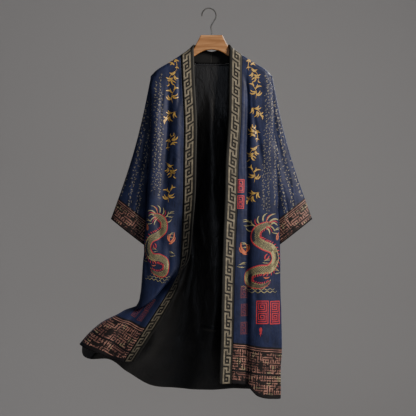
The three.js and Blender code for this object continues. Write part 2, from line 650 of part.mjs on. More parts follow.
const garment = new THREE.Group();
garment.name = "long_kimono";
function add(name, geometry, material) {
  const mesh = new THREE.Mesh(geometry, material);
  mesh.name = name;
  garment.add(mesh);
}
function addParts(names, geometries, material) {
  names.forEach((name, k) => add(name, geometries[k], material));
}
addParts(["back_upper", "back_lower"], backPanel(), navy);
add("back_lining", backLining(), black);
for (const [name, side, lower] of [
  ["left", LEFT, LOWER_ROWS],
  ["right", RIGHT, BLOWN_ROWS],
]) {
  addParts([`${name}_front_upper`, `${name}_front_lower`], frontPanel(side, lower), navy);
  addParts([`${name}_sleeve_upper`, `${name}_sleeve_lower`], sleeve(side), navy);
  addParts([`${name}_neckband`, `${name}_collar`], neckband(side, lower), keyBand);
}
add("hanger", hangerWood(), wood);
add("hook", hangerHook(), steel);

export default garment;
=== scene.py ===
"""A long open kimono on a wooden hanger: its cloth, prints, lining, hanger and hook.

Cloth is worked out in millimetres as grids: a panel is a function of share, which runs across it, and row,
which runs from the shoulder line (0) to the hem (1). The plans, folds and sweep are the ones of the solids,
read more finely, with creases added. Prints are laid on the same grids, a little proud.
Left and right are the wearer's, so right is at -X. The open front faces -Y.
"""

import math
from functools import partial

import bpy
import numpy as np
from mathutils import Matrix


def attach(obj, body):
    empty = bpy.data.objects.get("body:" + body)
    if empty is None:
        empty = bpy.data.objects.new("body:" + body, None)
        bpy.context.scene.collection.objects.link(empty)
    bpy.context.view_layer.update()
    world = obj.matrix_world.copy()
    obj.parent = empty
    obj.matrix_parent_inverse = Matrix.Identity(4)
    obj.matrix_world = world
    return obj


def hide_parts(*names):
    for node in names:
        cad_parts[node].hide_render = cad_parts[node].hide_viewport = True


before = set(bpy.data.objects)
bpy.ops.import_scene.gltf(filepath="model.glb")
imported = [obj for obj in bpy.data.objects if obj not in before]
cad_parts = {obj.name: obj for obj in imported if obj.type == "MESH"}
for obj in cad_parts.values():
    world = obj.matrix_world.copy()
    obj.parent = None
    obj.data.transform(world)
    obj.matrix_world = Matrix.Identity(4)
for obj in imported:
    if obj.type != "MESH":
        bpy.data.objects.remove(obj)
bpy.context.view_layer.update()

MM = 0.001
HANG_X = 7
MIDDLE_X = 2
CENTRE_X = HANG_X + MIDDLE_X

# Cut
BAND_WIDTH = 45
NECK_HALF = 62
SEAM_HALF = NECK_HALF + BAND_WIDTH
SHOULDER_HALF = 212
SHOULDER_END_Z = -236
UNDERARM_Z = -560
RIDGE_DROP = 14  # how far below the shoulder line the cloth has reached its depth
ARMHOLE_HALF = 11
ARMHOLE_TAPER = 40
NECKLINE_Z = -191
NECKLINE_FLAT = 50
COLLAR_TOP_Z = -147
COLLAR_LEAN = 3
COLLAR_GAP = 0.4
COLLAR_SPREAD = 0.25  # the power by which the band's edge reaches its depth behind the shoulder
SEAM = 0.15  # half the gap between sewn pieces
TURN_END = 2 / 3  # share of the side's turn by which the cloth faces sideways
TUCK_START = 0.5  # share of the side's turn from which it goes in to the seam

# Walls, as distances from the cloth's middle
SHELL = 0.5
BAND = 1.2
LINING_OUTER = -1.5
LINING_INNER = -2.3
PRINT_PROUD = 0.35


def table_rows(columns, *rows):
    """Rows of numbers in the order of their named columns."""
    assert all(len(row) == len(columns.split()) for row in rows)
    return rows


def table(columns, *rows):
    """The named columns of a table, in rising order of the first."""
    data = np.array(rows, float)
    data = data[np.argsort(data[:, 0])]
    return dict(zip(columns.split(), data.T))


SHOULDER_LINE = table(
    "out z",
    (0, -100),
    (58, -122),
    (80, -143),
    (107, -161),
    (150, -189),
    (190, -214),
    (212, -236),
)
PLAN_COLUMNS = "z edge turn front back round tuck"
LEFT_LEVELS = table(
    PLAN_COLUMNS,
    (-1350, 22, 243, 72, 66, 56, 24),
    (-1160, 30, 248, 66, 60, 52, 34),
    (-1015, 33, 244, 60, 55, 48, 44),
    (-850, 38, 242, 55, 50, 42, 54),
    (-670, 46, 236, 48, 44, 38, 54),
    (-530, 50, 228, 42, 38, 34, 32),
    (-392, 59, 222, 33, 30, 30, 20),
    (-236, 62, 214, 20, 18, 24, 0),
    (-120, 64, 214, 12, 12, 22, 0),
)
RIGHT_LEVELS = table(
    PLAN_COLUMNS,
    (-1350, 62, 244, 72, 66, 52, 20),
    (-1160, 62, 243, 70, 60, 50, 26),
    (-1015, 61, 240, 66, 55, 48, 40),
    (-850, 56, 231, 58, 50, 42, 52),
    (-670, 51, 222, 48, 44, 38, 52),
    (-530, 50, 216, 42, 38, 34, 30),
    (-392, 49, 210, 33, 30, 30, 16),
    (-236, 57, 210, 20, 18, 24, 0),
    (-120, 60, 210, 12, 12, 22, 0),
)
LEFT_HEM = table(
    "at z",
    (-1, -1298),
    (0, -1300),
    (0.22, -1306),
    (0.4, -1342),
    (0.7, -1354),
    (1, -1350),
    (1.5, -1340),
    (2, -1342),
)
RIGHT_SWEEP = table(
    "at bend soft lean ahead curl lift z",
    (-1, -922, 25, 33, 0.26, 0, 0, -1262),
    (0, -925, 25, 33, 0.24, 3, 0, -1266),
    (0.2, -966, 40, 38, 0.22, 14, 4, -1272),
    (0.45, -1030, 50, 50, 0.2, 24, 16, -1276),
    (0.8, -1072, 55, 66, 0.1, 27, 36, -1300),
    (1, -1060, 55, 62, 0, 0, 30, -1316),
    (1.18, -1040, 55, 46, 0, 0, 8, -1314),
    (1.3, -1020, 55, 36, 0, 0, 0, -1284),
    (1.45, -1000, 55, 26, 0, 0, 0, -1308),
    (1.6, -980, 55, 16, 0, 0, 0, -1340),
    (1.75, -960, 55, 9, 0, 0, 0, -1342),
    (2, -960, 55, 0, 0, 0, 0, -1342),
)
CURL_LENGTH = 34
RIGHT_ROLL = table(
    "z turn",
    (-1262, 36),
    (-1100, 34),
    (-985, 52),
    (-924, 84),
    (-865, 50),
    (-740, 34),
    (-600, 12),
    (-300, 0),
)
LEFT_ROLL = table("z turn", (-1350, 24), (-900, 18), (-400, 0))
ROLL_REACH = 0.25
ROLL_POWER = 1.5

FOLD_COLUMNS = "at width depth top foot drift"
LEFT_FRONT_FOLDS = table(
    FOLD_COLUMNS,
    (0.14, 0.055, 12, -190, -1500, 0.06),
    (0.36, 0.13, -6, -500, -1500, 0.08),
    (0.66, 0.1, 6, -700, -1500, -0.06),
)
RIGHT_FRONT_FOLDS = table(
    FOLD_COLUMNS,
    (0.15, 0.08, -5, -200, -760, 0),
    (0.38, 0.09, 12, -190, -800, 0.02),
    (0.64, 0.11, -6, -250, -1000, 0),
    (0.06, 0.14, 14, -640, -960, 0),
    (0.3, 0.12, 7, -1010, -1500, 0),
)
BACK_FOLDS = table(
    FOLD_COLUMNS,
    (-0.75, 0.09, 7, -420, -1500, 0.05),
    (-0.48, 0.1, 12, -330, -1500, -0.1),
    (-0.22, 0.09, -9, -260, -1500, -0.04),
    (0.0, 0.1, 12, -250, -1500, 0.02),
    (0.25, 0.09, -9, -300, -1500, 0.02),
    (0.5, 0.1, 11, -330, -1500, 0.05),
    (0.75, 0.09, 6, -420, -1500, -0.06),
)
FOLD_FADE = 220

# Shares across a panel from which its folds die out to the side seam, and from which its creases do.
# A front's creases also die out to the band's seam.
FRONT_CALM, FRONT_STILL = 0.8, 0.88
BACK_CALM, BACK_STILL = 0.85, 0.86
BAND_STILL = 0.08

CUFF_OUTER_OUT, CUFF_OUTER_Z = 352, -735
CUFF_INNER_OUT, CUFF_INNER_Z = 218, -840
CUFF_HALF = 19
SLEEVE_SAG = 14
SLEEVE_BULGE = 7
SLEEVE_FLARE = 0.45
SLEEVE_LAP = 1.7
UNDERARM_LAP = 4
UNDERARM_FROM = 0.8
UNDERARM_FLAT = 0.5
SLEEVE_ROUND = 0.7
SEWN_POWER = 1.5
FOLD_SHARE = 0.6
CREASES_FULL = 0.25  # share of the way down a sleeve
SLEEVE_FOLDS = table("at width depth", (0.3, 0.12, 6), (0.62, 0.12, -5))

# A crease fades over a share of its length at each end, and wanders aside along a part of a sine
CREASE_GAIN = 1.6
CREASE_END = 0.35
CREASE_BOW = 0.03
CREASE_SINE = 5.2

# The crossed waves of a ripple, in radians for each mm across and down
RIPPLE_WAVES = table_rows(
    "size across down start",
    (1, 0.061, 0.013, 0),
    (0.7, 0.113, -0.021, 1.7),
    (0.6, 0.019, 0.047, 0.6),
    (0.4, -0.037, 0.083, 2.9),
)

# What one unit of a panel's two coordinates stands for in the creases and the ripple, in mm
FRONT_SPAN = 200
BACK_SPAN = 250
SLEEVE_SPAN = (300, 500)
SLEEVE_RIPPLE_SPAN = (260, 480)
FRONT_RIPPLE = 0.35
LINING_RIPPLE = 0.5
SLEEVE_RIPPLE = 0.4

# How far below its top edge a panel settles into its plan, and its creases begin
SETTLE_DROP = 60
CALM_DROP = 90

# Creases listed from one end to the other across a panel (share) and down it (z), in mm.
# A positive depth is a trough.
CREASE_COLUMNS = "from_share from_z to_share to_z width depth"
LEFT_CREASES = table(
    CREASE_COLUMNS,
    (0.03, -210, 0.3, -420, 9, 1.6),
    (0.3, -250, 0.44, -610, 10, 2.0),
    (0.95, -330, 0.72, -520, 9, 1.8),
    (0.9, -420, 0.6, -700, 12, -1.8),
    (0.98, -560, 0.74, -760, 10, 1.8),
    (0.5, -700, 0.62, -1010, 10, 1.6),
    (0.08, -760, 0.2, -1040, 8, 1.5),
    (0.82, -830, 0.9, -1140, 11, -2.0),
    (0.34, -930, 0.3, -1180, 9, 1.8),
    (0.6, -1090, 0.5, -1330, 11, 2.2),
    (0.16, -1130, 0.12, -1290, 8, 1.6),
    (0.8, -1200, 0.84, -1345, 10, 1.8),
    (0.02, -500, 0.1, -690, 7, 1.2),
)
RIGHT_CREASES = table(
    CREASE_COLUMNS,
    (0.04, -210, 0.22, -400, 9, 1.6),
    (0.5, -240, 0.56, -520, 9, 1.8),
    (0.94, -320, 0.76, -540, 10, 1.8),
    (0.24, -470, 0.3, -700, 9, 1.5),
    (0.9, -540, 0.7, -800, 12, 2.0),
    (0.54, -650, 0.34, -900, 11, 1.8),
    (0.3, -800, 0.14, -930, 10, 2.2),
    (0.8, -820, 0.5, -960, 12, 2.2),
    (0.96, -900, 0.7, -1000, 10, 2.0),
    (0.1, -960, 0.4, -1060, 9, 2.0),
    (0.55, -1050, 0.5, -1260, 11, -2.2),
    (0.8, -1080, 0.74, -1275, 10, 2.4),
    (0.2, -1040, 0.16, -1260, 9, 1.8),
)
BACK_CREASES = table(
    CREASE_COLUMNS,
    (-0.7, -260, -0.3, -470, 10, 1.8),
    (0.72, -270, 0.36, -520, 10, 1.8),
    (-0.1, -250, 0.06, -560, 9, 1.5),
    (-0.9, -430, -0.62, -720, 11, 2.2),
    (0.92, -460, 0.64, -700, 11, 2.0),
    (0.3, -600, 0.42, -900, 10, 1.8),
    (-0.34, -640, -0.3, -980, 10, 1.8),
    (0.1, -760, 0.16, -1100, 9, 1.6),
    (-0.86, -840, -0.6, -1060, 11, 2.2),
    (0.84, -900, 0.7, -1250, 11, 2.0),
    (-0.1, -980, -0.06, -1300, 10, 1.8),
    (-0.5, -1060, -0.42, -1300, 10, 1.6),
    (0.5, -1050, 0.46, -1330, 11, 2.0),
)
# The satin lining wrinkles more, and lies folded across at knee height.
LINING_CREASES = table(
    CREASE_COLUMNS,
    (-0.12, -1120, 0.1, -1126, 5, 2.2),
    (0.1, -1126, 0.3, -1114, 5, 1.6),
    (-0.2, -360, -0.1, -520, 9, 0.8),
    (0.14, -340, 0.2, -560, 9, 0.8),
    (-0.02, -560, 0.06, -690, 6, 1.6),
    (0.2, -640, 0.1, -800, 7, 1.8),
    (-0.14, -700, -0.1, -860, 7, 1.8),
    (0.06, -880, 0.02, -1040, 6, 1.6),
    (-0.22, -930, -0.16, -1090, 7, 1.8),
    (-0.3, -1150, -0.26, -1310, 8, 2.0),
    (0.16, -1180, 0.12, -1330, 7, 1.8),
    (-0.08, -1200, -0.04, -1335, 7, 1.6),
    (-0.46, -1080, -0.5, -1290, 9, 2.4),
    (-0.62, -1080, -0.72, -1280, 9, 2.0),
    (0.0, -600, 0.01, -1500, 16, 4.6),
    (-0.13, -1000, -0.2, -1500, 10, 2.6),
    (-0.3, -760, -0.46, -1220, 9, 4.4),
    (-0.38, -900, -0.6, -1400, 9, 4.0),
)
SLEEVE_CREASES = table(
    "from_share from_along to_share to_along width depth",
    (0.1, 0.05, 0.2, 0.5, 9, 1.8),
    (0.45, 0.04, 0.4, 0.36, 9, 2.0),
    (0.75, 0.05, 0.6, 0.5, 10, 2.2),
    (0.95, 0.1, 0.8, 0.6, 9, 1.8),
    (0.15, 0.55, 0.32, 0.95, 10, -1.8),
    (0.5, 0.5, 0.55, 0.97, 10, 1.8),
    (0.8, 0.6, 0.85, 0.96, 9, 1.6),
)


def ease(a, b, v):
    """0 below a and 1 above b, with a cubic between."""
    t = np.clip((v - a) / (b - a), 0, 1)
    return t * t * (3 - 2 * t)


def curve(rows, name, at):
    """A smooth curve through a table: cubic pieces whose slopes come from each row's neighbours."""
    key = rows[next(iter(rows))]
    value = rows[name]
    slope = np.gradient(value)
    slope[1:-1] = (value[2:] - value[:-2]) / (key[2:] - key[:-2])
    slope[0] = (value[1] - value[0]) / (key[1] - key[0])
    slope[-1] = (value[-1] - value[-2]) / (key[-1] - key[-2])
    i = np.clip(np.searchsorted(key, at) - 1, 0, len(key) - 2)
    span = key[i + 1] - key[i]
    t = np.clip((at - key[i]) / span, 0, 1)
    t2, t3 = t * t, t * t * t
    return (
        (2 * t3 - 3 * t2 + 1) * value[i]
        + (t3 - 2 * t2 + t) * span * slope[i]
        + (3 * t2 - 2 * t3) * value[i + 1]
        + (t3 - t2) * span * slope[i + 1]
    )


def rise(drop):
    """Quarter ellipse from 0 on the shoulder line to 1 below it."""
    s = 1 - np.clip(drop / RIDGE_DROP, 0, 1)
    return np.sqrt(1 - s * s)


def armhole(z):
    """Half the depth of the open armhole: an ellipse's end at the shoulder and at the underarm."""
    closing = 1 - np.clip((z - UNDERARM_Z) / ARMHOLE_TAPER, 0, 1)
    return ARMHOLE_HALF * rise(SHOULDER_END_Z - z) * np.sqrt(1 - closing * closing)


def fold_depth(folds, share, z):
    """Sum of bell-shaped troughs across the panel, each faded in below its top and out above its foot."""
    total = np.zeros(np.broadcast(share, z).shape)
    for at, width, depth, top, foot, drift in zip(*folds.values()):
        away = (share - at - drift * (top - z) * MM) / width
        shown = ease(-top, -top + FOLD_FADE, -z) * (1 - ease(-foot - FOLD_FADE, -foot, -z))
        total = total + depth * shown * np.exp(-away * away)
    return total


def crease_depth(creases, across, down, scale):
    """Sum of soft troughs along straight lines: a bell across each line, faded at both ends.

    across and down are the panel's two coordinates and scale the mm that one unit of each stands for.
    """
    total = np.zeros(np.broadcast(across, down).shape)
    x, y = across * scale[0], down * scale[1]
    for x0, y0, x1, y1, width, depth in zip(*creases.values()):
        x0, x1, y0, y1 = x0 * scale[0], x1 * scale[0], y0 * scale[1], y1 * scale[1]
        run = math.hypot(x1 - x0, y1 - y0)
        along = ((x - x0) * (x1 - x0) + (y - y0) * (y1 - y0)) / run
        away = ((x - x0) * (y1 - y0) - (y - y0) * (x1 - x0)) / run
        away = away + CREASE_BOW * run * np.sin(along / run * CREASE_SINE + x0)
        ends = ease(0, CREASE_END * run, along) * (1 - ease((1 - CREASE_END) * run, run, along))
        total = total + depth * ends * np.exp(-((away / width) ** 2))
    return total


def ripple(across, down, size):
    """Low uneven swell of the cloth: a few crossed sine waves of unlike lengths."""
    return size * sum(part * np.sin(a * across + b * down + start) for part, a, b, start in RIPPLE_WAVES)


LEFT = {
    "name": "left",
    "sign": 1,
    "levels": LEFT_LEVELS,
    "hem": LEFT_HEM,
    "roll": LEFT_ROLL,
    "folds": LEFT_FRONT_FOLDS,
    "creases": LEFT_CREASES,
    "sweep": None,
}
RIGHT = {
    "name": "right",
    "sign": -1,
    "levels": RIGHT_LEVELS,
    "hem": RIGHT_SWEEP,
    "roll": RIGHT_ROLL,
    "folds": RIGHT_FRONT_FOLDS,
    "creases": RIGHT_CREASES,
    "sweep": RIGHT_SWEEP,
}


def panel_width(side, start, band, z, face):
    """Run of cloth across a panel at a level: the flat part, the turn's quarter arc and half the tuck."""
    levels = side["levels"]
    depth = curve(levels, "front" if face < 0 else "back", z)
    rounding = curve(levels, "round", z)
    flat = curve(levels, "turn", z) - rounding - start
    arc = math.pi / 2 * np.sqrt((rounding**2 + depth**2) / 2) + curve(levels, "tuck", z) / 2
    return flat, arc, flat + arc - band


def plan(side, start, share, band, z, face):
    """Plan of a panel: flat from its start, then round the turn and back in by the tuck to the side seam."""
    levels = side["levels"]
    depth = curve(levels, "front" if face < 0 else "back", z)
    turn, rounding, tuck = (curve(levels, name, z) for name in ("turn", "round", "tuck"))
    flat, arc, width = panel_width(side, start, band, z, face)
    length = np.where(share < 0, band * (1 + share), band + share * width)
    w = np.clip((length - flat) / arc, 0, 1)
    quarter = math.pi / 2
    seam = armhole(z) + SEAM
    swing = np.minimum(w / TURN_END, 1) * quarter
    bent = turn - rounding + rounding * np.sin(swing) - tuck * ease(TUCK_START, 1, w)
    x = np.where(length <= flat, start + length, bent)
    y = face * (seam + (depth - seam) * np.cos(w * quarter))
    return x, y, np.sin(w * quarter), face * np.cos(w * quarter)


def sweep(side, station, x, y, z):
    """Leans the blown cloth over beyond its bend, arches it, and lays the cross fold over the bend."""
    if side["sweep"] is None:
        return x, y, z
    names = ("bend", "soft", "lean", "ahead", "curl", "lift", "z")
    bend, soft, lean, ahead, curl_size, lift, hem = (curve(side["sweep"], name, station) for name in names)
    beyond = bend - z
    length = (beyond + np.hypot(beyond, soft)) / 2
    lean = np.radians(lean)
    t = beyond / CURL_LENGTH
    curl = curl_size * t * np.exp((1 - t * t) / 2)
    lift = lift * np.sin(math.pi * np.clip(beyond / (bend - hem), 0, 1))
    return (
        x + length * np.sin(lean) + lift * np.cos(lean),
        y - ahead * length + curl,
        z + length * (1 - np.cos(lean)) + curl * np.cos(lean) + lift * np.sin(lean),
    )


def placed(side, x, y, z):
    """Points of one side as an array with x, y and z last, in mm."""
    x, y, z = np.broadcast_arrays(side["sign"] * x + HANG_X, y, z)
    return np.stack([x, y, z], axis=-1)


def front_level(side, share, row):
    """Distance out on the shoulder, shoulder height and unblown height of a front's point."""
    out = SEAM_HALF + np.where(share < 0, share * BAND_WIDTH, share * (SHOULDER_HALF - SEAM_HALF))
    top = curve(SHOULDER_LINE, "z", out)
    return out, top, top + row * (curve(side["hem"], "z", share) - top)


def front_point(side, share, row):
    """A front: its plan at each level, drawn together on the shoulder line, folded, rolled and blown."""
    out, top, z = front_level(side, share, row)
    edge = curve(side["levels"], "edge", z)
    x, y, nx, ny = plan(side, edge, share, BAND_WIDTH, z, -1)
    settled = ease(0, SETTLE_DROP, top - z)
    x = x * settled + (out + side["sign"] * MIDDLE_X) * (1 - settled)
    y = np.where(share == 1, y, -SEAM + (y + SEAM) * rise(top - z))
    inside = (1 - ease(FRONT_CALM, 1, share)) * ease(-1, 0, share)
    fold = fold_depth(side["folds"], share, z) * inside
    calm = ease(0, CALM_DROP, top - z) * ease(0, BAND_STILL, share) * (1 - ease(FRONT_STILL, 1, share))
    fold = fold + calm * CREASE_GAIN * crease_depth(side["creases"], share, z, (FRONT_SPAN, 1))
    fold = fold + calm * ripple(share * FRONT_SPAN, z, FRONT_RIPPLE)
    turn = np.radians(curve(side["roll"], "turn", z))
    rolled = BAND_WIDTH * np.clip((ROLL_REACH - share) / (ROLL_REACH + 1), 0, 1) ** ROLL_POWER
    x = x - fold * nx + rolled * (1 - np.cos(turn))
    y = y - fold * ny - rolled * np.sin(turn)
    return placed(side, *sweep(side, share, x, y, z))


def back_top(out):
    """Height of the back's top edge: level at the neck seam, then up to the shoulder line."""
    corner = curve(SHOULDER_LINE, "z", SEAM_HALF)
    neck = NECKLINE_Z + (corner - NECKLINE_Z) * ease(NECKLINE_FLAT, SEAM_HALF, out)
    return np.where(out >= SEAM_HALF, curve(SHOULDER_LINE, "z", out), neck)


def back_point(side, share, row, inner=None, swell=FRONT_RIPPLE):
    """Half the back, from its middle (share 0) to its side seam, in the same way as a front.

    The lining has inner creases of its own besides, which only move it inwards.
    """
    out = share * SHOULDER_HALF
    top = back_top(out)
    z = top + row * (curve(side["hem"], "z", 2 - share) - top)
    middle = side["sign"] * MIDDLE_X
    x, y, nx, ny = plan(side, middle, share, 0, z, 1)
    settled = ease(0, SETTLE_DROP, top - z)
    x = x * settled + (out + middle) * (1 - settled)
    shoulder = curve(SHOULDER_LINE, "z", out)
    y = np.where(share == 1, y, SEAM + (y - SEAM) * rise(shoulder - z))
    signed = side["sign"] * share
    fold = fold_depth(BACK_FOLDS, signed, z) * (1 - ease(BACK_CALM, 1, share))
    calm = ease(0, SETTLE_DROP, top - z) * (1 - ease(BACK_STILL, 1, share))
    fold = fold + calm * CREASE_GAIN * crease_depth(BACK_CREASES, signed, z, (BACK_SPAN, 1))
    if inner is not None:
        extra = CREASE_GAIN * crease_depth(inner, signed, z, (BACK_SPAN, 1))
        fold = fold + calm * np.maximum(extra, 0)
    fold = fold + calm * ripple(signed * BACK_SPAN, z, swell)
    return placed(side, *sweep(side, 2 - share, x - fold * nx, y - fold * ny, z))


def collar_point(side, share, out):
    """The neckband behind the neck: straight lines from the back's seam up to the band's leaning edge."""
    seam = back_point(side, out / SHOULDER_HALF, np.zeros_like(out))
    near = 1 - out / SEAM_HALF
    shoulder = curve(SHOULDER_LINE, "z", NECK_HALF)
    inner = np.stack(
        [
            CENTRE_X + side["sign"] * NECK_HALF * (out / SEAM_HALF),
            (seam[..., 1] + COLLAR_LEAN) * near**COLLAR_SPREAD,
            shoulder + (COLLAR_TOP_Z - shoulder) * ease(0, 1, near),
        ],
        axis=-1,
    )
    lift = inner - seam
    seam = seam + COLLAR_GAP * lift / np.linalg.norm(lift, axis=-1, keepdims=True)
    return seam + (inner - seam) * -share[..., None]


def sleeve_point(side, share, face, along):
    """A sleeve: straight lines from the armhole's loop to the cuff's, bulged and folded between."""
    level = SHOULDER_END_Z + share * (UNDERARM_Z - SHOULDER_END_Z)
    lapped = level + SLEEVE_LAP * (2 * share - 1) + UNDERARM_LAP * ease(UNDERARM_FROM, 1, share)
    from_x = curve(side["levels"], "turn", level) - curve(side["levels"], "tuck", level) + 2 * SEAM
    flattened = 1 - UNDERARM_FLAT * ease(BACK_CALM, 1, share)
    from_y = armhole(level) * (1 - SLEEVE_LAP / ARMHOLE_HALF) * flattened
    middle = side["sign"] * MIDDLE_X
    to_x = middle + CUFF_OUTER_OUT + share * (CUFF_INNER_OUT - CUFF_OUTER_OUT)
    to_z = CUFF_OUTER_Z + share * (CUFF_INNER_Z - CUFF_OUTER_Z)
    opened = np.sin(math.pi * np.clip(share, 0, 1)) ** SLEEVE_ROUND
    swell = np.sin(math.pi * along)
    fold = np.zeros(np.broadcast(share, along).shape)
    for at, width, depth in zip(*SLEEVE_FOLDS.values()):
        fold = fold + depth * np.exp(-(((share - at) / width) ** 2)) * swell
    across, down = SLEEVE_RIPPLE_SPAN
    fine = crease_depth(SLEEVE_CREASES, share, along, SLEEVE_SPAN)
    fine = fine + ripple(share * across, along * down, SLEEVE_RIPPLE)
    outwards = along ** (1 - SLEEVE_FLARE * share)
    x = from_x + outwards * (to_x - from_x) - SLEEVE_SAG * swell * (1 - share)
    sewn = from_y * (1 - along) ** SEWN_POWER
    depth = sewn + (along * CUFF_HALF + SLEEVE_BULGE * swell - FOLD_SHARE * fold) * opened
    depth = depth - fine * opened * np.minimum(1, along / CREASES_FULL)
    return placed(side, x, face * depth, lapped + along * (to_z - lapped))


def normals(grid, facing, ring=False):
    """Outward directions of a grid: the cross product of its two central differences."""
    down = np.gradient(grid, axis=0)
    if ring:
        across = np.roll(grid, -1, axis=1) - np.roll(grid, 1, axis=1)
    else:
        across = np.gradient(grid, axis=1)
    n = facing * np.cross(down, across)
    return n / np.maximum(np.linalg.norm(n, axis=-1, keepdims=True), 1e-9)


def grid_faces(rows, columns, ring=False):
    """Quads of a grid, rows first, as an array of four indices each."""
    i, j = np.mgrid[0 : rows - 1, 0 : columns if ring else columns - 1]
    after = (j + 1) % columns
    quads = [i * columns + j, (i + 1) * columns + j, (i + 1) * columns + after, i * columns + after]
    return np.stack(quads, axis=-1).reshape(-1, 4)


def make_mesh(name, points, faces, maps=None, finish=None, materials=()):
    """A smooth mesh in metres from points in mm, with named maps in metres and a material number a face."""
    mesh = bpy.data.meshes.new(name)
    mesh.from_pydata((np.asarray(points) * MM).tolist(), [], np.asarray(faces).tolist())
    corner = np.empty(len(mesh.loops), np.int32)
    mesh.loops.foreach_get("vertex_index", corner)
    for map_name, uv in (maps or {}).items():
        layer = mesh.uv_layers.new(name=map_name)
        layer.data.foreach_set("uv", (np.asarray(uv)[corner] * MM).astype(np.float32).ravel())
    if finish is not None:
        mesh.polygons.foreach_set("material_index", np.asarray(finish, np.int32))
    mesh.polygons.foreach_set("use_smooth", np.ones(len(mesh.polygons), bool))
    for material in materials:
        mesh.materials.append(material)
    mesh.validate()
    piece = bpy.data.objects.new(name, mesh)
    bpy.context.scene.collection.objects.link(piece)
    return piece


def wall(name, grid, facing, outer, inner, maps, materials, finish=None, ring=False):
    """A closed wall of cloth, and its directions: the grid moved out and in along them, joined at its edges.

    finish holds a material number for each outer quad; the inner side and the edges take the last material.
    """
    rows, columns = grid.shape[:2]
    n = normals(grid, facing, ring)
    count = rows * columns
    points = np.concatenate([(grid + outer * n).reshape(-1, 3), (grid + inner * n).reshape(-1, 3)])
    face = grid_faces(rows, columns, ring)
    back = face[:, ::-1] + count
    top = np.arange(columns)
    foot = top + (rows - 1) * columns
    if ring:
        runs = [np.append(top, 0)[::-1], np.append(foot, foot[0])]
    else:
        left = np.arange(rows) * columns
        runs = [top[::-1], foot, left, left[::-1] + columns - 1]
    rims = [np.stack([run[:-1], run[:-1] + count, run[1:] + count, run[1:]], axis=-1) for run in runs]
    faces = np.concatenate([face, back, *rims])
    if facing < 0:
        faces = faces[:, ::-1]
    last = len(materials) - 1
    number = np.full(len(faces), last)
    number[: len(face)] = 0 if finish is None else finish
    doubled = {key: np.tile(uv.reshape(-1, 2), (2, 1)) for key, uv in maps.items()}
    return make_mesh(name, points, faces, doubled, number, materials), n


def linear(code):
    """Linear colour, with alpha, of an sRGB hex value."""
    s = np.array([int(code[i : i + 2], 16) / 255 for i in (1, 3, 5)])
    rgb = np.where(s <= 0.04045, s / 12.92, ((s + 0.055) / 1.055) ** 2.4)
    return (*rgb.tolist(), 1.0)


def per(size):
    """Cells to the metre of a pattern whose cell is size mm."""
    return 1 / (size * MM)


def add(tree, kind, *values, out=0, **given):
    """Adds a shader node and gives one of its outputs.

    Plain values fill its first inputs in turn. Of the named ones, one in lower case is a setting of the node,
    and the others are inputs, by number after _ or by name with _ for a space. A value may be an output.
    """
    made = tree.nodes.new("ShaderNode" + kind)
    for name in [name for name in given if name[0].islower()]:
        setattr(made, name, given.pop(name))
    inputs = dict(enumerate(values))
    for name, value in given.items():
        inputs[int(name[1:]) if name[0] == "_" else name.replace("_", " ")] = value
    for key, value in inputs.items():
        if isinstance(value, bpy.types.NodeSocket):
            tree.links.new(value, made.inputs[key])
        else:
            made.inputs[key].default_value = value
    return made.outputs[out]


# Settings of a Mix node for two colours, which are its inputs 6 and 7
COLOURS = {"data_type": "RGBA", "out": 2}


def new_material(name, **settings):
    """A material with a Principled BSDF whose plain settings are given by name."""
    material = bpy.data.materials.new(name)
    material.use_nodes = True
    tree = material.node_tree
    shader = tree.nodes["Principled BSDF"]
    for key, value in settings.items():
        shader.inputs[key.replace("_", " ")].default_value = value
    return material, tree, shader


def finish_surface(tree, shader, colour, height, depth):
    """Links a colour and a bump to the shader; the height is in shares of depth, in mm."""
    bump = add(tree, "Bump", Height=height, Distance=depth * MM, Strength=1.0)
    tree.links.new(bump, shader.inputs["Normal"])
    tree.links.new(colour, shader.inputs["Base Color"])


# Cloth's patterns, in mm. The real thread is 0.3 mm thick; it is drawn coarser so that it shows.
THREAD = 1.1
SLUB = 16.67
WEAVE_DEPTH = 0.16
PRINT_DEPTH = 0.2
# Beside the other one's relief: the printed satin's crumple, and the weave of the crushed lining
CRUMPLE_SHARE = 6.0
CRUSHED_WEAVE_SHARE = 0.06


def thread_height(tree, position, slub=SLUB):
    """Woven relief: threads one way crossed with slubs the other way, from the cloth's own map."""
    threads = []
    for scale in ((per(THREAD), per(slub), 1), (per(slub), per(THREAD), 1)):
        stretched = add(tree, "Mapping", Vector=position, Scale=scale)
        threads.append(add(tree, "TexNoise", Vector=stretched, Scale=1.0, Detail=2.0, out="Fac"))
    return add(tree, "Math", *threads, operation="ADD")


# Border layouts, in mm below the border's top line: pale lines on the dark ground, fields of brocade
HEM_BORDER = {"pale": [(6, 9), (13, 16)], "field": [(20, 91), (98, 400)], "hem": 13}
CUFF_BORDER = {"pale": [(5, 8), (12, 14)], "field": [(17, 54), (59, 100)], "hem": 5}
LABYRINTH_CELL = 8.8
HALF_BAR = 0.23  # of a cell
# A cell has a bar across it where its random number lies below the first, and up it above the second
ACROSS_BELOW = 0.62
UP_ABOVE = 0.44


def in_zone(tree, value, low, high):
    """1 where the value, in metres, lies between low and high, in mm."""
    return add(tree, "Math", value, (low + high) / 2 * MM, (high - low) / 2 * MM, operation="COMPARE")


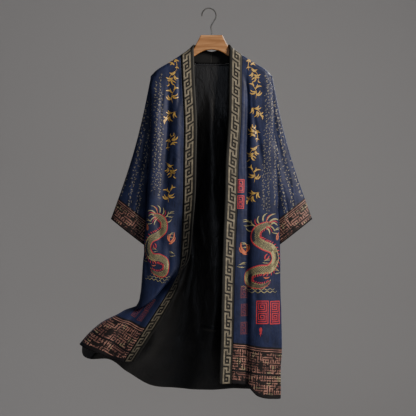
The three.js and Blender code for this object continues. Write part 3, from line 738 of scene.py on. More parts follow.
def labyrinth(tree, position):
    """1 on the bars of a labyrinth: square cells, each with a bar one way or the other, or both."""
    cells = add(tree, "VectorMath", position, operation="SCALE", Scale=per(LABYRINTH_CELL))
    corner = add(tree, "VectorMath", cells, operation="FLOOR")
    part = add(tree, "VectorMath", cells, operation="FRACTION")
    kind = add(tree, "TexWhiteNoise", noise_dimensions="2D", Vector=corner, out="Value")
    bars = []
    for axis, test, limit in (("Y", "LESS_THAN", ACROSS_BELOW), ("X", "GREATER_THAN", UP_ABOVE)):
        away = add(tree, "SeparateXYZ", part, out=axis)
        strip = add(tree, "Math", away, 0.5, HALF_BAR, operation="COMPARE")
        chosen = add(tree, "Math", kind, limit, operation=test)
        bars.append(add(tree, "Math", strip, chosen, operation="MULTIPLY"))
    return add(tree, "Math", *bars, operation="MAXIMUM")


def patches(tree, position, size, low, high, offset):
    """Soft-edged patches of a noise whose cells are size mm."""
    moved = add(tree, "Mapping", Vector=position, Location=(offset, offset, 0))
    noise = add(tree, "TexNoise", Vector=moved, Scale=per(size), Detail=2.5, Distortion=0.5, out="Fac")
    return add(tree, "MapRange", Value=noise, From_Min=low, From_Max=high)


def navy_dye(tree, position):
    """Colour of the dyed satin: lengthwise slubs, clouds of dye as wide as a hand, and specks of thread."""
    streak = add(tree, "Mapping", Vector=position, Scale=(per(2.381), per(41.67), 1))
    slub = add(tree, "TexNoise", Vector=streak, Scale=1.0, Detail=3.0, out="Fac")
    dye = add(tree, "TexNoise", Vector=position, Scale=per(62.5), Detail=5.0, Roughness=0.65, out="Fac")
    speck = add(tree, "TexNoise", Vector=position, Scale=per(1.923), Detail=2.0, out="Fac")
    uneven = 0.0
    for noise, weight in ((dye, 0.5), (slub, 0.4), (speck, 0.2)):
        uneven = add(tree, "Math", noise, weight, uneven, operation="MULTIPLY_ADD")
    uneven = add(tree, "MapRange", Value=uneven, From_Min=0.35, From_Max=0.75)
    return add(tree, "Mix", uneven, **COLOURS, _6=linear("#0b0e1e"), _7=linear("#20284a"))


def brocade(tree, position, tone, pink):
    """Colour of a border's field: worn pink and cream, cut up by a dark labyrinth and dark patches."""
    cream = add(tree, "Mix", tone, **COLOURS, _6=linear("#665b49"), _7=linear("#887c63"))
    worn = patches(tree, position, size=29.41, low=0.56, high=0.6, offset=1.7)
    thread = add(tree, "Mix", worn, **COLOURS, _6=pink, _7=cream)
    gaps = patches(tree, position, size=19.23, low=0.55, high=0.585, offset=5.1)
    dark = add(tree, "Math", labyrinth(tree, position), gaps, operation="MAXIMUM")
    return add(tree, "Mix", dark, **COLOURS, _6=thread, _7=linear("#1c1716"))


def printed_satin(name, border):
    """Printed polyester satin: a soft bluish sheen, fine weave, uneven dye and a brocade border at its foot.

    The cloth map gives metres across and below the border's top line, and the edge map metres above the hem.
    """
    material, tree, shader = new_material(
        name,
        Roughness=0.56,
        Sheen_Weight=0.07,
        Sheen_Roughness=0.45,
        Sheen_Tint=linear("#7f95d6"),
        Specular_IOR_Level=0.22,
    )
    position = add(tree, "UVMap", uv_map="cloth")
    down = add(tree, "SeparateXYZ", position, out="Y")
    up = add(tree, "SeparateXYZ", add(tree, "UVMap", uv_map="edge"), out="Y")
    tone = patches(tree, position, size=38.46, low=0.42, high=0.6, offset=0.3)
    pink = add(tree, "Mix", tone, **COLOURS, _6=linear("#60433e"), _7=linear("#8f6a5f"))
    ground = linear("#141112")
    below = add(tree, "Math", down, 0.0, operation="GREATER_THAN")
    colour = add(tree, "Mix", below, **COLOURS, _6=navy_dye(tree, position), _7=ground)
    field = brocade(tree, position, tone, pink)
    for zones, filling in ((border["pale"], pink), (border["field"], field)):
        for low, high in zones:
            colour = add(tree, "Mix", in_zone(tree, down, low, high), **COLOURS, _6=colour, _7=filling)
    hem = add(tree, "Math", up, border["hem"] * MM, operation="LESS_THAN")
    colour = add(tree, "Mix", hem, **COLOURS, _6=colour, _7=ground)
    crumple = add(tree, "TexNoise", Vector=position, Scale=per(26.32), Detail=4.0, Distortion=0.7, out="Fac")
    threads = thread_height(tree, position)
    height = add(tree, "Math", crumple, CRUMPLE_SHARE, threads, operation="MULTIPLY_ADD")
    finish_surface(tree, shader, colour, height, PRINT_DEPTH)
    return material


def plain_cloth(name, dark, light, roughness, sheen, specular=0.25, cloud=55.56):
    """Cloth dyed in one colour: clouds of uneven dye, of a size in mm, over a fine weave."""
    material, tree, shader = new_material(
        name, Roughness=roughness, Sheen_Weight=sheen, Sheen_Roughness=0.4, Specular_IOR_Level=specular
    )
    position = add(tree, "UVMap", uv_map="cloth")
    dye = add(tree, "TexNoise", Vector=position, Scale=per(cloud), Detail=5.0, Roughness=0.6, out="Fac")
    dye = add(tree, "MapRange", Value=dye, From_Min=0.35, From_Max=0.65)
    colour = add(tree, "Mix", dye, **COLOURS, _6=linear(dark), _7=linear(light))
    finish_surface(tree, shader, colour, thread_height(tree, position), WEAVE_DEPTH)
    return material


def lining_satin():
    """Black acetate satin: smoother than the outer cloth, with crushed fine wrinkles that catch the light."""
    material, tree, shader = new_material(
        "lining_satin", Roughness=0.42, Sheen_Weight=0.03, Sheen_Roughness=0.35, Specular_IOR_Level=0.27
    )
    position = add(tree, "UVMap", uv_map="cloth")
    tone = add(tree, "TexNoise", Vector=position, Scale=per(50), Detail=4.0, out="Fac")
    colour = add(tree, "Mix", tone, **COLOURS, _6=linear("#0a0a0a"), _7=linear("#1b1b1c"))
    stretched = add(tree, "Mapping", Vector=position, Scale=(per(16.67), per(45.45), 1))
    crush = add(tree, "TexNoise", Vector=stretched, Scale=1.0, Detail=4.0, Distortion=0.8, out="Fac")
    threads = thread_height(tree, position, slub=12.5)
    height = add(tree, "Math", threads, CRUSHED_WEAVE_SHARE, crush, operation="MULTIPLY_ADD")
    finish_surface(tree, shader, colour, height, depth=2.2)
    return material


def print_ink(name, dark, light, roughness=0.5, metallic=0.0):
    """Print paste on satin: matt beside the cloth, and worn unevenly so that the weave shows through."""
    material, tree, shader = new_material(name, Roughness=roughness, Metallic=metallic, Sheen_Weight=0.1)
    position = add(tree, "UVMap", uv_map="cloth")
    worn = add(tree, "TexNoise", Vector=position, Scale=per(2.381), Detail=4.0, out="Fac")
    worn = add(tree, "MapRange", Value=worn, From_Min=0.36, From_Max=0.6)
    colour = add(tree, "Mix", worn, **COLOURS, _6=linear(dark), _7=linear(light))
    finish_surface(tree, shader, colour, thread_height(tree, position), PRINT_DEPTH)
    return material


def wood_material():
    """Beech with a satin varnish: warm, with long straight grain along the arms and fine pores."""
    material, tree, shader = new_material("varnished_beech", Roughness=0.5, Specular_IOR_Level=0.35)
    place = add(tree, "TexCoord", out="Object")
    stretched = add(tree, "Mapping", Vector=place, Scale=(per(111.1), per(16.67), per(11.11)))
    grain = add(tree, "TexNoise", Vector=stretched, Scale=1.0, Detail=6.0, Distortion=0.6, out="Fac")
    pore = add(tree, "Mapping", Vector=place, Scale=(per(11.11), per(1.111), per(1.111)))
    pores = add(tree, "TexNoise", Vector=pore, Scale=1.0, Detail=2.0, out="Fac")
    tone = add(tree, "MapRange", Value=grain, From_Min=0.35, From_Max=0.65)
    colour = add(tree, "Mix", tone, **COLOURS, _6=linear("#77512f"), _7=linear("#a1744c"))
    finish_surface(tree, shader, colour, pores, depth=0.06)
    return material


def steel_material():
    """Drawn steel wire: bright, grey, and a little scratched."""
    material, tree, shader = new_material("drawn_steel", Metallic=1.0, Roughness=0.28)
    place = add(tree, "TexCoord", out="Object")
    scratch = add(tree, "TexNoise", Vector=place, Scale=per(1.4286), Detail=2.0, out="Fac")
    tone = add(tree, "TexNoise", Vector=place, Scale=per(16.67), Detail=3.0, out="Fac")
    colour = add(tree, "Mix", tone, **COLOURS, _6=linear("#6f6e6a"), _7=linear("#a5a39c"))
    finish_surface(tree, shader, colour, scratch, depth=0.04)
    return material


hem_satin = printed_satin("printed_satin_hem", HEM_BORDER)
cuff_satin = printed_satin("printed_satin_cuff", CUFF_BORDER)
# The printed cloth's unprinted side, near black
reverse = plain_cloth("satin_reverse", "#06070b", "#101219", roughness=0.55, sheen=0.03)
lining = lining_satin()
# The band is a matt black cotton with the key printed on it in a dull cream.
# Its inner side takes a darker copy of that black: painted shade for the inside of the collar.
band_black = plain_cloth("band_black", "#0e0e0c", "#1b1b18", roughness=0.65, sheen=0.03)
band_inside_painted_shade = plain_cloth("band_inside_painted_shade", "#040404", "#0e0e0f", roughness=0.6, sheen=0.02, specular=0.15)
key_cream = plain_cloth("key_cream", "#514c42", "#7b7464", roughness=0.62, sheen=0.04, cloud=16.67)
gold_ink = print_ink("gold_ink", "#8a6a2c", "#d2ac5a", roughness=0.42, metallic=0.35)
grey_ink = print_ink("grey_gold_ink", "#44423c", "#7b7564")
red_ink = print_ink("red_ink", "#7e1820", "#b52b34")
dull_red_ink = print_ink("dull_red_ink", "#3c1722", "#5e202c")
sage_ink = print_ink("sage_gold_ink", "#5d5838", "#a39a6a")
dark_ink = print_ink("dark_ink", "#15161a", "#23232a")
flame_ink = print_ink("flame_ink", "#7c3420", "#b5603a")

# Fine grids: shares and rows are closest where a panel turns most
FRONT_SHARES = np.concatenate([np.linspace(0, 0.92, 54), np.linspace(0.93, 1, 9)])
BACK_SHARES = np.concatenate([np.linspace(0, 0.86, 46), np.linspace(0.88, 1, 11)])
RIDGE_ROWS = np.array([0, 0.0012, 0.0025, 0.0045, 0.007, 0.0095, 0.012])
ROWS = np.concatenate([RIDGE_ROWS, np.linspace(0.0155, 1, 285)])

# Height of the border's top line on each side, before the cloth is blown
BORDER_TOP = table(
    "at left right",
    (-1, -1159, -1136),
    (0, -1159, -1134),
    (0.4, -1172, -1126),
    (0.9, -1181, -1150),
    (2, -1176, -1168),
)


def cloth_maps(side, station, across, z):
    """Maps of a panel, at heights before it is blown: mm across with mm below the border or above the hem."""
    below = curve(BORDER_TOP, side["name"], station) - z
    above = z - curve(side["hem"], "z", station)
    return {
        "cloth": np.stack(np.broadcast_arrays(across, below), axis=-1),
        "edge": np.stack(np.broadcast_arrays(across, above), axis=-1),
    }


def front_panel(side):
    """One front of printed satin, plain on its inner side, and its surface for the prints."""
    share, row = np.meshgrid(FRONT_SHARES, ROWS)
    grid = front_point(side, share, row)
    _, _, z = front_level(side, share, row)
    width = panel_width(side, curve(side["levels"], "edge", z), BAND_WIDTH, z, -1)[2]
    maps = cloth_maps(side, share, share * width, z)
    name = side["name"] + "_front_cloth"
    piece, n = wall(name, grid, side["sign"], SHELL, -SHELL, maps, [hem_satin, reverse])
    return piece, {"columns": FRONT_SHARES, "rows": ROWS, "grid": grid, "normal": n}


left_front, left_surface = front_panel(LEFT)
right_front, right_surface = front_panel(RIGHT)


def back_map(side, share, row):
    """Cloth maps of half the back, with mm across from its middle."""
    top = back_top(share * SHOULDER_HALF)
    z = top + row * (curve(side["hem"], "z", 2 - share) - top)
    width = panel_width(side, side["sign"] * MIDDLE_X, 0, z, 1)[2]
    return cloth_maps(side, 2 - share, side["sign"] * share * width, z)


def back_grid(**shape):
    """The whole back, from the right side seam to the left one, and its maps."""
    share, row = np.meshgrid(BACK_SHARES, ROWS)
    halves = []
    for side in (RIGHT, LEFT):
        halves.append({"grid": back_point(side, share, row, **shape), **back_map(side, share, row)})
    right, left = halves
    joined = {key: np.concatenate([right[key][:, ::-1], left[key][:, 1:]], axis=1) for key in right}
    return joined.pop("grid"), joined


grid, maps = back_grid()
back, normal = wall("back_cloth", grid, -1, SHELL, -SHELL, maps, [hem_satin, reverse])
signed_shares = np.concatenate([-BACK_SHARES[::-1], BACK_SHARES[1:]])
back_surface = {"columns": signed_shares, "rows": ROWS, "grid": grid, "normal": normal}

# The lining stops short of the back: this many rows below its top and columns from each side seam
LINING_TOP = 3
LINING_SIDE = 14
grid, maps = back_grid(inner=LINING_CREASES, swell=LINING_RIPPLE)
inside = (slice(LINING_TOP, None), slice(LINING_SIDE, -LINING_SIDE))
maps = {key: uv[inside] for key, uv in maps.items()}
grid = grid[inside]
back_lining, _ = wall("back_lining_satin", grid, -1, LINING_OUTER, LINING_INNER, maps, [lining, lining])

# The key pattern, charted from the seam (left) to the open edge: X is cream
KEY_CHART = [
    "XXXXX",
    "X...X",
    "X.X.X",
    "X...X",
    "XXX.X",
    "....X",
    "XXX.X",
    "X.X.X",
    "X.XXX",
    "X....",
]
KEY_CELL = 5.4
KEY_ROW = 6.2
KEY_SEAM_MARGIN = 6.5
KEY_COLUMNS = len(KEY_CHART[0])
KEY_START = BAND_WIDTH - KEY_SEAM_MARGIN - KEY_COLUMNS * KEY_CELL
KEY_MARGIN_LINES = [0, KEY_START / 2]
KEY_LINES = KEY_START + KEY_CELL * np.arange(KEY_COLUMNS + 1)
KEY_LINES = np.concatenate([KEY_MARGIN_LINES, KEY_LINES, [BAND_WIDTH]])
KEY_SHARES = KEY_LINES / BAND_WIDTH - 1
KEY_FIRST = len(KEY_MARGIN_LINES)

# The band's run is measured along this share of it, and its last step is no shorter than this, in mm
KEY_MIDDLE = -0.4
RUN_POINTS = 2000
LAST_STEP = 2
COLLAR_ROWS = 40


def neckband(side):
    """The neckband, from the hem over the shoulder to the middle of the back: its grid's cells make the key.

    Its rows are spaced along the band, so that each takes half a row of the chart.
    """
    fine = np.linspace(1, 0, RUN_POINTS)
    run = front_point(side, np.full(fine.shape, KEY_MIDDLE), fine)
    reach = np.concatenate([[0], np.cumsum(np.linalg.norm(np.diff(run, axis=0), axis=-1))])
    steps = np.append(np.arange(0, reach[-1] - LAST_STEP, KEY_ROW / 2), reach[-1])
    share, row = np.meshgrid(KEY_SHARES, np.interp(steps, reach, fine))
    front = front_point(side, share, row)
    share, out = np.meshgrid(KEY_SHARES, SEAM_HALF * (1 - np.linspace(0, 1, COLLAR_ROWS)[1:]))
    grid = np.concatenate([front, collar_point(side, share, out)])
    stride = np.linalg.norm(np.diff(grid.mean(axis=1), axis=0), axis=-1)[len(steps) - 1 :]
    along = np.concatenate([steps, steps[-1] + np.cumsum(stride)])
    maps = {"cloth": np.stack(np.broadcast_arrays(KEY_LINES[None, :], along[:, None]), axis=-1)}
    chart = np.array([[mark == "X" for mark in line] for line in KEY_CHART])
    chart_row = ((along[:-1] + along[1:]) / 2 / KEY_ROW).astype(int) % len(KEY_CHART)
    # The inner side and the edges take the darker copy of the black, which is painted shade.
    materials = [key_cream, band_black, band_inside_painted_shade]
    finish = np.ones((len(grid) - 1, len(KEY_SHARES) - 1), int)
    finish[:, KEY_FIRST : KEY_FIRST + KEY_COLUMNS] = np.where(chart[chart_row][:, ::-1], 0, 1)
    name = side["name"] + "_neckband_cloth"
    return wall(name, grid, -side["sign"], BAND, -BAND, maps, materials, finish.ravel())[0]


left_band = neckband(LEFT)
right_band = neckband(RIGHT)

SLEEVE_RING = 56
SLEEVE_ROWS = 120
SLEEVE_CROWD = 1.2  # the power that sets the rows closer near the armhole
CUFF_BORDER_HEIGHT = 74


def sleeve_map(side, grid):
    """Maps of a sleeve laid flat: mm along the cuff with mm below the border's top line or above the cuff."""
    x = side["sign"] * (grid[..., 0] - HANG_X - MIDDLE_X) - CUFF_INNER_OUT
    z = grid[..., 2] - CUFF_INNER_Z
    run, climb = CUFF_OUTER_OUT - CUFF_INNER_OUT, CUFF_OUTER_Z - CUFF_INNER_Z
    length = math.hypot(run, climb)
    along = (x * run + z * climb) / length
    above = (z * run - x * climb) / length
    return {
        "cloth": np.stack([along, CUFF_BORDER_HEIGHT - above], axis=-1),
        "edge": np.stack([along, above], axis=-1),
    }


def sleeve(side):
    """A sleeve, open at the armhole and the cuff, with its border all round, and its front for the prints."""
    even = np.linspace(0, 1, SLEEVE_RING + 1)
    half = (even + (1 - np.cos(math.pi * even)) / 2) / 2
    share = np.concatenate([half, half[1:-1][::-1]])
    face = np.concatenate([-np.ones(SLEEVE_RING + 1), np.ones(SLEEVE_RING - 1)])
    share, along = np.meshgrid(share, np.linspace(0, 1, SLEEVE_ROWS) ** SLEEVE_CROWD)
    grid = sleeve_point(side, share, face[None, :], along)
    maps = sleeve_map(side, grid)
    name = side["name"] + "_sleeve_cloth"
    piece, n = wall(name, grid, -side["sign"], SHELL, -SHELL, maps, [cuff_satin, reverse], ring=True)
    front = slice(0, SLEEVE_RING + 1)
    return piece, {"columns": half, "rows": along[:, 0], "grid": grid[:, front], "normal": n[:, front]}


left_sleeve, left_sleeve_surface = sleeve(LEFT)
right_sleeve, right_sleeve_surface = sleeve(RIGHT)

# Prints: each mark is a stroke, a centreline in mm across and up the cloth with a half width at each point
STROKE_COLUMNS = "x y angle length half bow"
SPRAYS = [
    table_rows(
        STROKE_COLUMNS,
        (-12, -27, 74, 56, 1.1, 9),
        (-8, -16, 196, 13, 2.3, -3),
        (-5, -8, 18, 24, 3.4, 5),
        (-6, -6, 352, 17, 2.6, 4),
        (-6, 2, 168, 16, 3.0, -4),
        (-5, 3, 142, 15, 2.4, -3),
        (-3, 9, 28, 25, 3.5, -5),
        (-2, 11, 52, 19, 2.7, -4),
        (1, 20, 118, 13, 2.4, 3),
        (2, 22, 74, 12, 2.2, -2),
    ),
    table_rows(
        STROKE_COLUMNS,
        (16, 26, 238, 58, 1.1, -10),
        (10, 19, 186, 22, 3.3, 4),
        (9, 18, 208, 18, 2.6, 3),
        (6, 8, 318, 17, 3.1, -4),
        (5, 6, 294, 17, 2.5, -3),
        (1, 0, 176, 24, 3.4, 5),
        (-1, -3, 200, 19, 2.7, 4),
        (-5, -10, 306, 19, 3.1, -4),
        (-6, -11, 332, 17, 2.4, 3),
        (-12, -20, 222, 12, 2.2, 2),
    ),
    table_rows(
        STROKE_COLUMNS,
        (2, -28, 104, 50, 1.1, -8),
        (4, -14, 26, 21, 3.1, -5),
        (4, -12, 46, 18, 2.4, -4),
        (3, -4, 188, 21, 3.3, 5),
        (3, -2, 164, 20, 2.6, 4),
        (1, 6, 22, 23, 3.4, 5),
        (0, 8, 64, 17, 2.4, -3),
        (-4, 15, 152, 18, 3.0, -4),
        (-6, 19, 96, 14, 2.4, 2),
    ),
    table_rows(
        STROKE_COLUMNS,
        (-17, 18, 318, 54, 1.1, 10),
        (-13, 16, 250, 19, 3.0, 4),
        (-11, 16, 274, 21, 2.5, 3),
        (-5, 14, 34, 19, 3.1, -4),
        (-3, 13, 12, 22, 2.6, -3),
        (4, 6, 246, 23, 3.4, 5),
        (6, 4, 268, 20, 2.6, 4),
        (12, -3, 22, 14, 2.9, -3),
        (14, -6, 298, 20, 3.1, 4),
        (16, -9, 334, 12, 2.2, 2),
    ),
]
STROKE_STEPS = 9
BAR_STEP = 4
FINE_TIP = 0.8  # share of a leaf's width that a finer brush gives

# A brush's width along its stroke, in shares of the half width: full near its root, less at its end
BRUSH_ROOT = 1.25
BRUSH_WANE = 0.6
BRUSH_TIP = 0.08

# Small leaves, in lengths of a leaf
LEAF_PITCH = 0.66
LEAF_SPREAD = 1.5
LEAF_UNEVEN = 0.25
LEAF_HALF = 0.15
LEAF_BOW = 0.14
# Steps from a leaf to the next and from a column to the next: the turn in degrees, the way aside in shares of
# the spread, and the radians of the sine that makes their lengths uneven
LEAF_TURN, COLUMN_TURN = 137.5, 50
LEAF_ASIDE, COLUMN_ASIDE = 0.4142, 0.3
LEAF_SINE, COLUMN_SINE = 1.3, 2


def brush(x, y, angle, length, half, bow):
    """A brushed leaf or stem: a bowed line, full in its first third and drawn out to a point."""
    t = np.linspace(0, 1, STROKE_STEPS)
    way = np.radians(angle)
    along = np.stack([np.cos(way), np.sin(way)])
    side = np.stack([-np.sin(way), np.cos(way)])
    centre = np.array([x, y]) + length * t[:, None] * along + bow * np.sin(math.pi * t)[:, None] * side
    width = (4 * t * (1 - t)) ** 0.5 * (BRUSH_ROOT - BRUSH_WANE * t)
    return centre, half * np.maximum(width, BRUSH_TIP)


def smooth_stroke(points, halves, step=3.0):
    """A stroke through given points, drawn as a smooth curve, with half widths between the given ones."""
    points = np.asarray(points, float)
    reach = np.concatenate([[0], np.cumsum(np.linalg.norm(np.diff(points, axis=0), axis=1))])
    at = np.linspace(0, reach[-1], max(3, int(reach[-1] / step)))
    rows = {"at": reach, "x": points[:, 0], "y": points[:, 1], "half": np.asarray(halves, float)}
    return np.stack([curve(rows, "x", at), curve(rows, "y", at)], axis=-1), curve(rows, "half", at)


def bar(x0, y0, x1, y1, half):
    """A straight stroke of even width, with square ends half a width beyond its points."""
    way = np.array([x1 - x0, y1 - y0], float)
    length = np.linalg.norm(way)
    way = way / length
    t = np.linspace(-half, length + half, max(2, int(length / BAR_STEP) + 1))
    return np.array([x0, y0]) + t[:, None] * way, np.full(len(t), half)


def seal(width, height, half, gap):
    """A square seal: a frame round two square spirals, all of bars."""
    x, y = width / 2 - half, height / 2 - half
    ends = [(-x, -y, x, -y), (-x, y, x, y), (-x, -y, -x, y), (x, -y, x, y)]
    strokes = [bar(*four, half) for four in ends]
    for foot, head in ((-y + gap, -gap / 2), (gap / 2, y - gap)):
        left, right = -x + gap, x - gap
        corner = [(left, foot)]
        while right - left > gap and head - foot > gap:
            corner += [(right, foot), (right, head), (left, head), (left, foot + gap)]
            left, right, foot, head = left + gap, right - gap, foot + gap, head - gap
            corner.append((left, foot))
        strokes += [bar(*a, *b, half) for a, b in zip(corner[:-1], corner[1:]) if a != b]
    return strokes


def shifted(strokes, x, y, size=(1, 1)):
    """Strokes scaled about their own origin, or turned over by a negative size, and moved to a place."""
    finest = min(abs(share) for share in size)
    return [(centre * np.array(size) + np.array([x, y]), half * finest) for centre, half in strokes]


def between(values, at):
    """Index of the value below each number of a rising list, and the share of the way to the next."""
    i = np.clip(np.searchsorted(values, at) - 1, 0, len(values) - 2)
    return i, np.clip((at - values[i]) / (values[i + 1] - values[i]), 0, 1)


def laid(surface, share, row, proud):
    """Points on the outer side of a panel, moved out by proud, and its directions there."""
    i, down = between(surface["rows"], row)
    j, across = between(surface["columns"], share)
    down, across = down[:, None], across[:, None]

    def read(field):
        upper = field[i, j] * (1 - across) + field[i, j + 1] * across
        lower = field[i + 1, j] * (1 - across) + field[i + 1, j + 1] * across
        return upper * (1 - down) + lower * down

    n = read(surface["normal"])
    return read(surface["grid"]) + (SHELL + proud) * n, n


def front_place(side, u, z):
    """Share and row of the point of a front u mm from the band's seam at an unblown height z."""
    edge = curve(side["levels"], "edge", z)
    share = np.clip(u / panel_width(side, edge, BAND_WIDTH, z, -1)[2], 0, 1)
    top = curve(SHOULDER_LINE, "z", SEAM_HALF + share * (SHOULDER_HALF - SEAM_HALF))
    return share, (z - top) / (curve(side["hem"], "z", share) - top)


def back_place(x, z):
    """Signed share and row of the point of the back x mm from its middle at an unblown height z."""
    share, row = np.empty_like(x), np.empty_like(x)
    for side in (LEFT, RIGHT):
        mine = x * side["sign"] >= 0
        width = panel_width(side, side["sign"] * MIDDLE_X, 0, z[mine], 1)[2]
        near = np.clip(np.abs(x[mine]) / width, 0, 1)
        top = back_top(near * SHOULDER_HALF)
        share[mine] = near * side["sign"]
        row[mine] = (z[mine] - top) / (curve(side["hem"], "z", 2 - near) - top)
    return share, row


def print_mesh(name, surface, place, strokes, material, proud=PRINT_PROUD):
    """All strokes of one colour as a mesh laid on a panel: each has two edges and a centreline.

    place turns mm across and up the panel into its share and row.
    """
    flat, faces, start = [], [], 0
    for centre, half in strokes:
        way = np.gradient(centre, axis=0)
        way = way / np.linalg.norm(way, axis=1, keepdims=True)
        aside = np.stack([-way[:, 1], way[:, 0]], axis=-1) * half[:, None]
        flat.append(np.stack([centre + aside, centre, centre - aside], axis=1).reshape(-1, 2))
        faces.append(grid_faces(len(centre), 3) + start)
        start += 3 * len(centre)
    flat, faces = np.concatenate(flat), np.concatenate(faces)
    points, n = laid(surface, *place(flat[:, 0], flat[:, 1]), proud)
    a, b, c = (points[faces[:, k]] for k in (0, 1, 3))
    if np.sum(np.cross(b - a, c - a) * n[faces[:, 0]]) < 0:
        faces = faces[:, ::-1]
    piece = make_mesh(name, points, faces, {"cloth": flat}, materials=[material])
    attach(piece, "root")
    return piece


def spray_strokes(places, size):
    """The tall column of leaf sprays down a front, in turn from the four kinds, every third turned over."""
    strokes = []
    for number, (u, z) in enumerate(places):
        kind = [brush(*row) for row in SPRAYS[number % len(SPRAYS)]]
        kind = [(centre, FINE_TIP * half) for centre, half in kind]
        strokes += shifted(kind, u, z, (-size if number % 3 == 1 else size, size))
    return strokes


def leaf_strokes(columns, size=6.2):
    """Columns of small drifting leaves: steps that never fall together turn each one and set it aside."""
    strokes = []
    for number, (x0, y0, x1, y1) in enumerate(columns):
        count = int(math.hypot(x1 - x0, y1 - y0) / (LEAF_PITCH * size))
        for k in range(count):
            t = k / count
            aside = LEAF_SPREAD * size * ((LEAF_ASIDE * k + COLUMN_ASIDE * number) % 1 - 0.5)
            x = x0 + t * (x1 - x0) + aside
            y = y0 + t * (y1 - y0)
            turn = LEAF_TURN * k + COLUMN_TURN * number
            length = size * (1 + LEAF_UNEVEN * math.sin(LEAF_SINE * k + COLUMN_SINE * number))
            strokes.append(brush(x, y, turn, length, LEAF_HALF * size, LEAF_BOW * size))
    return strokes


# The large motif, in mm about its middle: a scaled band that winds down through clouds to the waves
BODY = table(
    "order x y half",
    (0, 40, 112, 3),
    (1, 14, 106, 10),
    (2, -16, 88, 14),
    (3, -20, 56, 15.5),
    (4, 8, 34, 16),
    (5, 44, 18, 16.5),
    (6, 58, -16, 16.5),
    (7, 34, -48, 16),
    (8, -6, -52, 15),
    (9, -38, -68, 13.5),
    (10, -38, -98, 11.5),
    (11, -4, -110, 8.5),
    (12, 26, -102, 5),
    (13, 38, -88, 1),
)
FLAMES = table_rows(
    STROKE_COLUMNS,
    (-50, 6, 118, 44, 3.6, 8),
    (-52, 6, 96, 34, 3.2, -7),
    (-56, 6, 134, 30, 3.0, 6),
    (-46, 2, 150, 26, 2.8, 5),
    (-48, 10, 78, 28, 2.6, -5),
    (60, 52, 62, 30, 2.8, 6),
    (62, 50, 84, 26, 2.6, -5),
    (10, -74, 24, 26, 2.6, 5),
    (12, -78, 2, 22, 2.4, -4),
)
PLUMES = table_rows(
    STROKE_COLUMNS,
    (22, 112, 12, 48, 2.6, 9),
    (20, 108, 352, 44, 2.6, 8),
    (16, 102, 330, 40, 2.4, 7),
    (10, 98, 306, 34, 2.4, 6),
    (14, 116, 38, 46, 2.6, 9),
    (4, 116, 66, 34, 2.4, 8),
    (-8, 108, 96, 30, 2.4, 7),
    (-20, 100, 128, 30, 2.2, 6),
    (-30, 84, 156, 28, 2.2, 6),
)
RED_PLUMES = table_rows(
    STROKE_COLUMNS,
    (24, 110, 2, 40, 1.5, 8),
    (16, 116, 52, 34, 1.5, 8),
    (14, 100, 318, 34, 1.5, 6),
    (-14, 104, 112, 26, 1.4, 6),
    (24, 4, 252, 24, 2.2, -5),
    (30, -2, 226, 20, 1.8, 4),
)
WISP = table_rows(
    STROKE_COLUMNS,
    (-16, 0, 6, 34, 1.5, 3.5),
    (-22, -5, -4, 27, 1.3, -3),
    (-5, 6, 10, 24, 1.3, 3),
    (-8, -9, 2, 22, 1.1, -2.5),
)
# Each cloud is a wisp, turned over where its size is negative
CLOUDS = table_rows(
    "x y size",
    (-50, 112, -1.0),
    (58, 84, 0.9),
    (-56, 34, -0.8),
    (22, -22, 0.7),
    (66, -58, -0.8),
    (-64, -36, 0.8),
)
WAVE_TOP = -112
WAVE_DROP = 9
WAVE_LENGTH = 21
WAVE_HEIGHT = 2.6
WAVE_STEP = 2.0
WAVE_TIP, WAVE_SWELL = 0.3, 0.9  # half the line at its ends, and what its middle has more
WAVE_RUNS = ((-66, 34), (-60, 58), (-44, 68))

# The body's scales stand in one set of lanes, then in the other. Places and sizes across the body are shares
# of its half width, and the rest is in mm, with the lean of the fins in degrees.
SCALE_LANES = ((-0.44, 0.0, 0.44), (-0.66, -0.22, 0.22, 0.66))
SCALE_SHARE = 0.2
SCALE_ARCH = 2.2
SCALE_LINE = 0.8
FIN_EVERY = 3
FIN_ROOT = 0.9
FIN_LEAN = 35
FIN_LENGTH, FIN_SHARE = 5, 0.45
FIN_HALF, FIN_BOW = 1.7, 1.2
BELLY_ASIDE, BELLY_SHARE = 0.92, 0.14


def scaled_body():
    """The body's own stroke, its rows of scales, its fins and its belly line."""
    centre, half = smooth_stroke(np.stack([BODY["x"], BODY["y"]], axis=-1), BODY["half"])
    way = np.gradient(centre, axis=0)
    way = way / np.linalg.norm(way, axis=1, keepdims=True)
    aside = np.stack([-way[:, 1], way[:, 0]], axis=-1)
    t = np.linspace(-1, 1, 5)[:, None]
    scales, fins = [], []
    for k in range(2, len(centre) - 2):
        for lane in SCALE_LANES[k % 2]:
            across = aside[k] * half[k] * (lane + SCALE_SHARE * t)
            arc = centre[k] + across + way[k] * SCALE_ARCH * (1 - t * t)
            scales.append((arc, np.full(len(t), SCALE_LINE)))
        if k % FIN_EVERY == 0:
            root = centre[k] + aside[k] * half[k] * FIN_ROOT
            turn = math.degrees(math.atan2(aside[k][1], aside[k][0])) - FIN_LEAN
            fins.append(brush(*root, turn, FIN_LENGTH + half[k] * FIN_SHARE, FIN_HALF, FIN_BOW))
    belly = (centre - aside * (half * BELLY_ASIDE)[:, None], half * BELLY_SHARE)
    return (centre, half), scales, fins, belly


def wave_strokes():
    """Rows of sine waves at the motif's foot, each set half a wave from the last and fine at its ends."""
    strokes = []
    for level, (x0, x1) in enumerate(WAVE_RUNS):
        x = np.arange(x0, x1, WAVE_STEP)
        swing = np.sin(2 * math.pi * (x / WAVE_LENGTH + level / 2))
        y = WAVE_TOP - WAVE_DROP * level + WAVE_HEIGHT * swing
        half = WAVE_TIP + WAVE_SWELL * np.sin(math.pi * (x - x0) / (x1 - x0))
        strokes.append((np.stack([x, y], axis=-1), half))
    return strokes


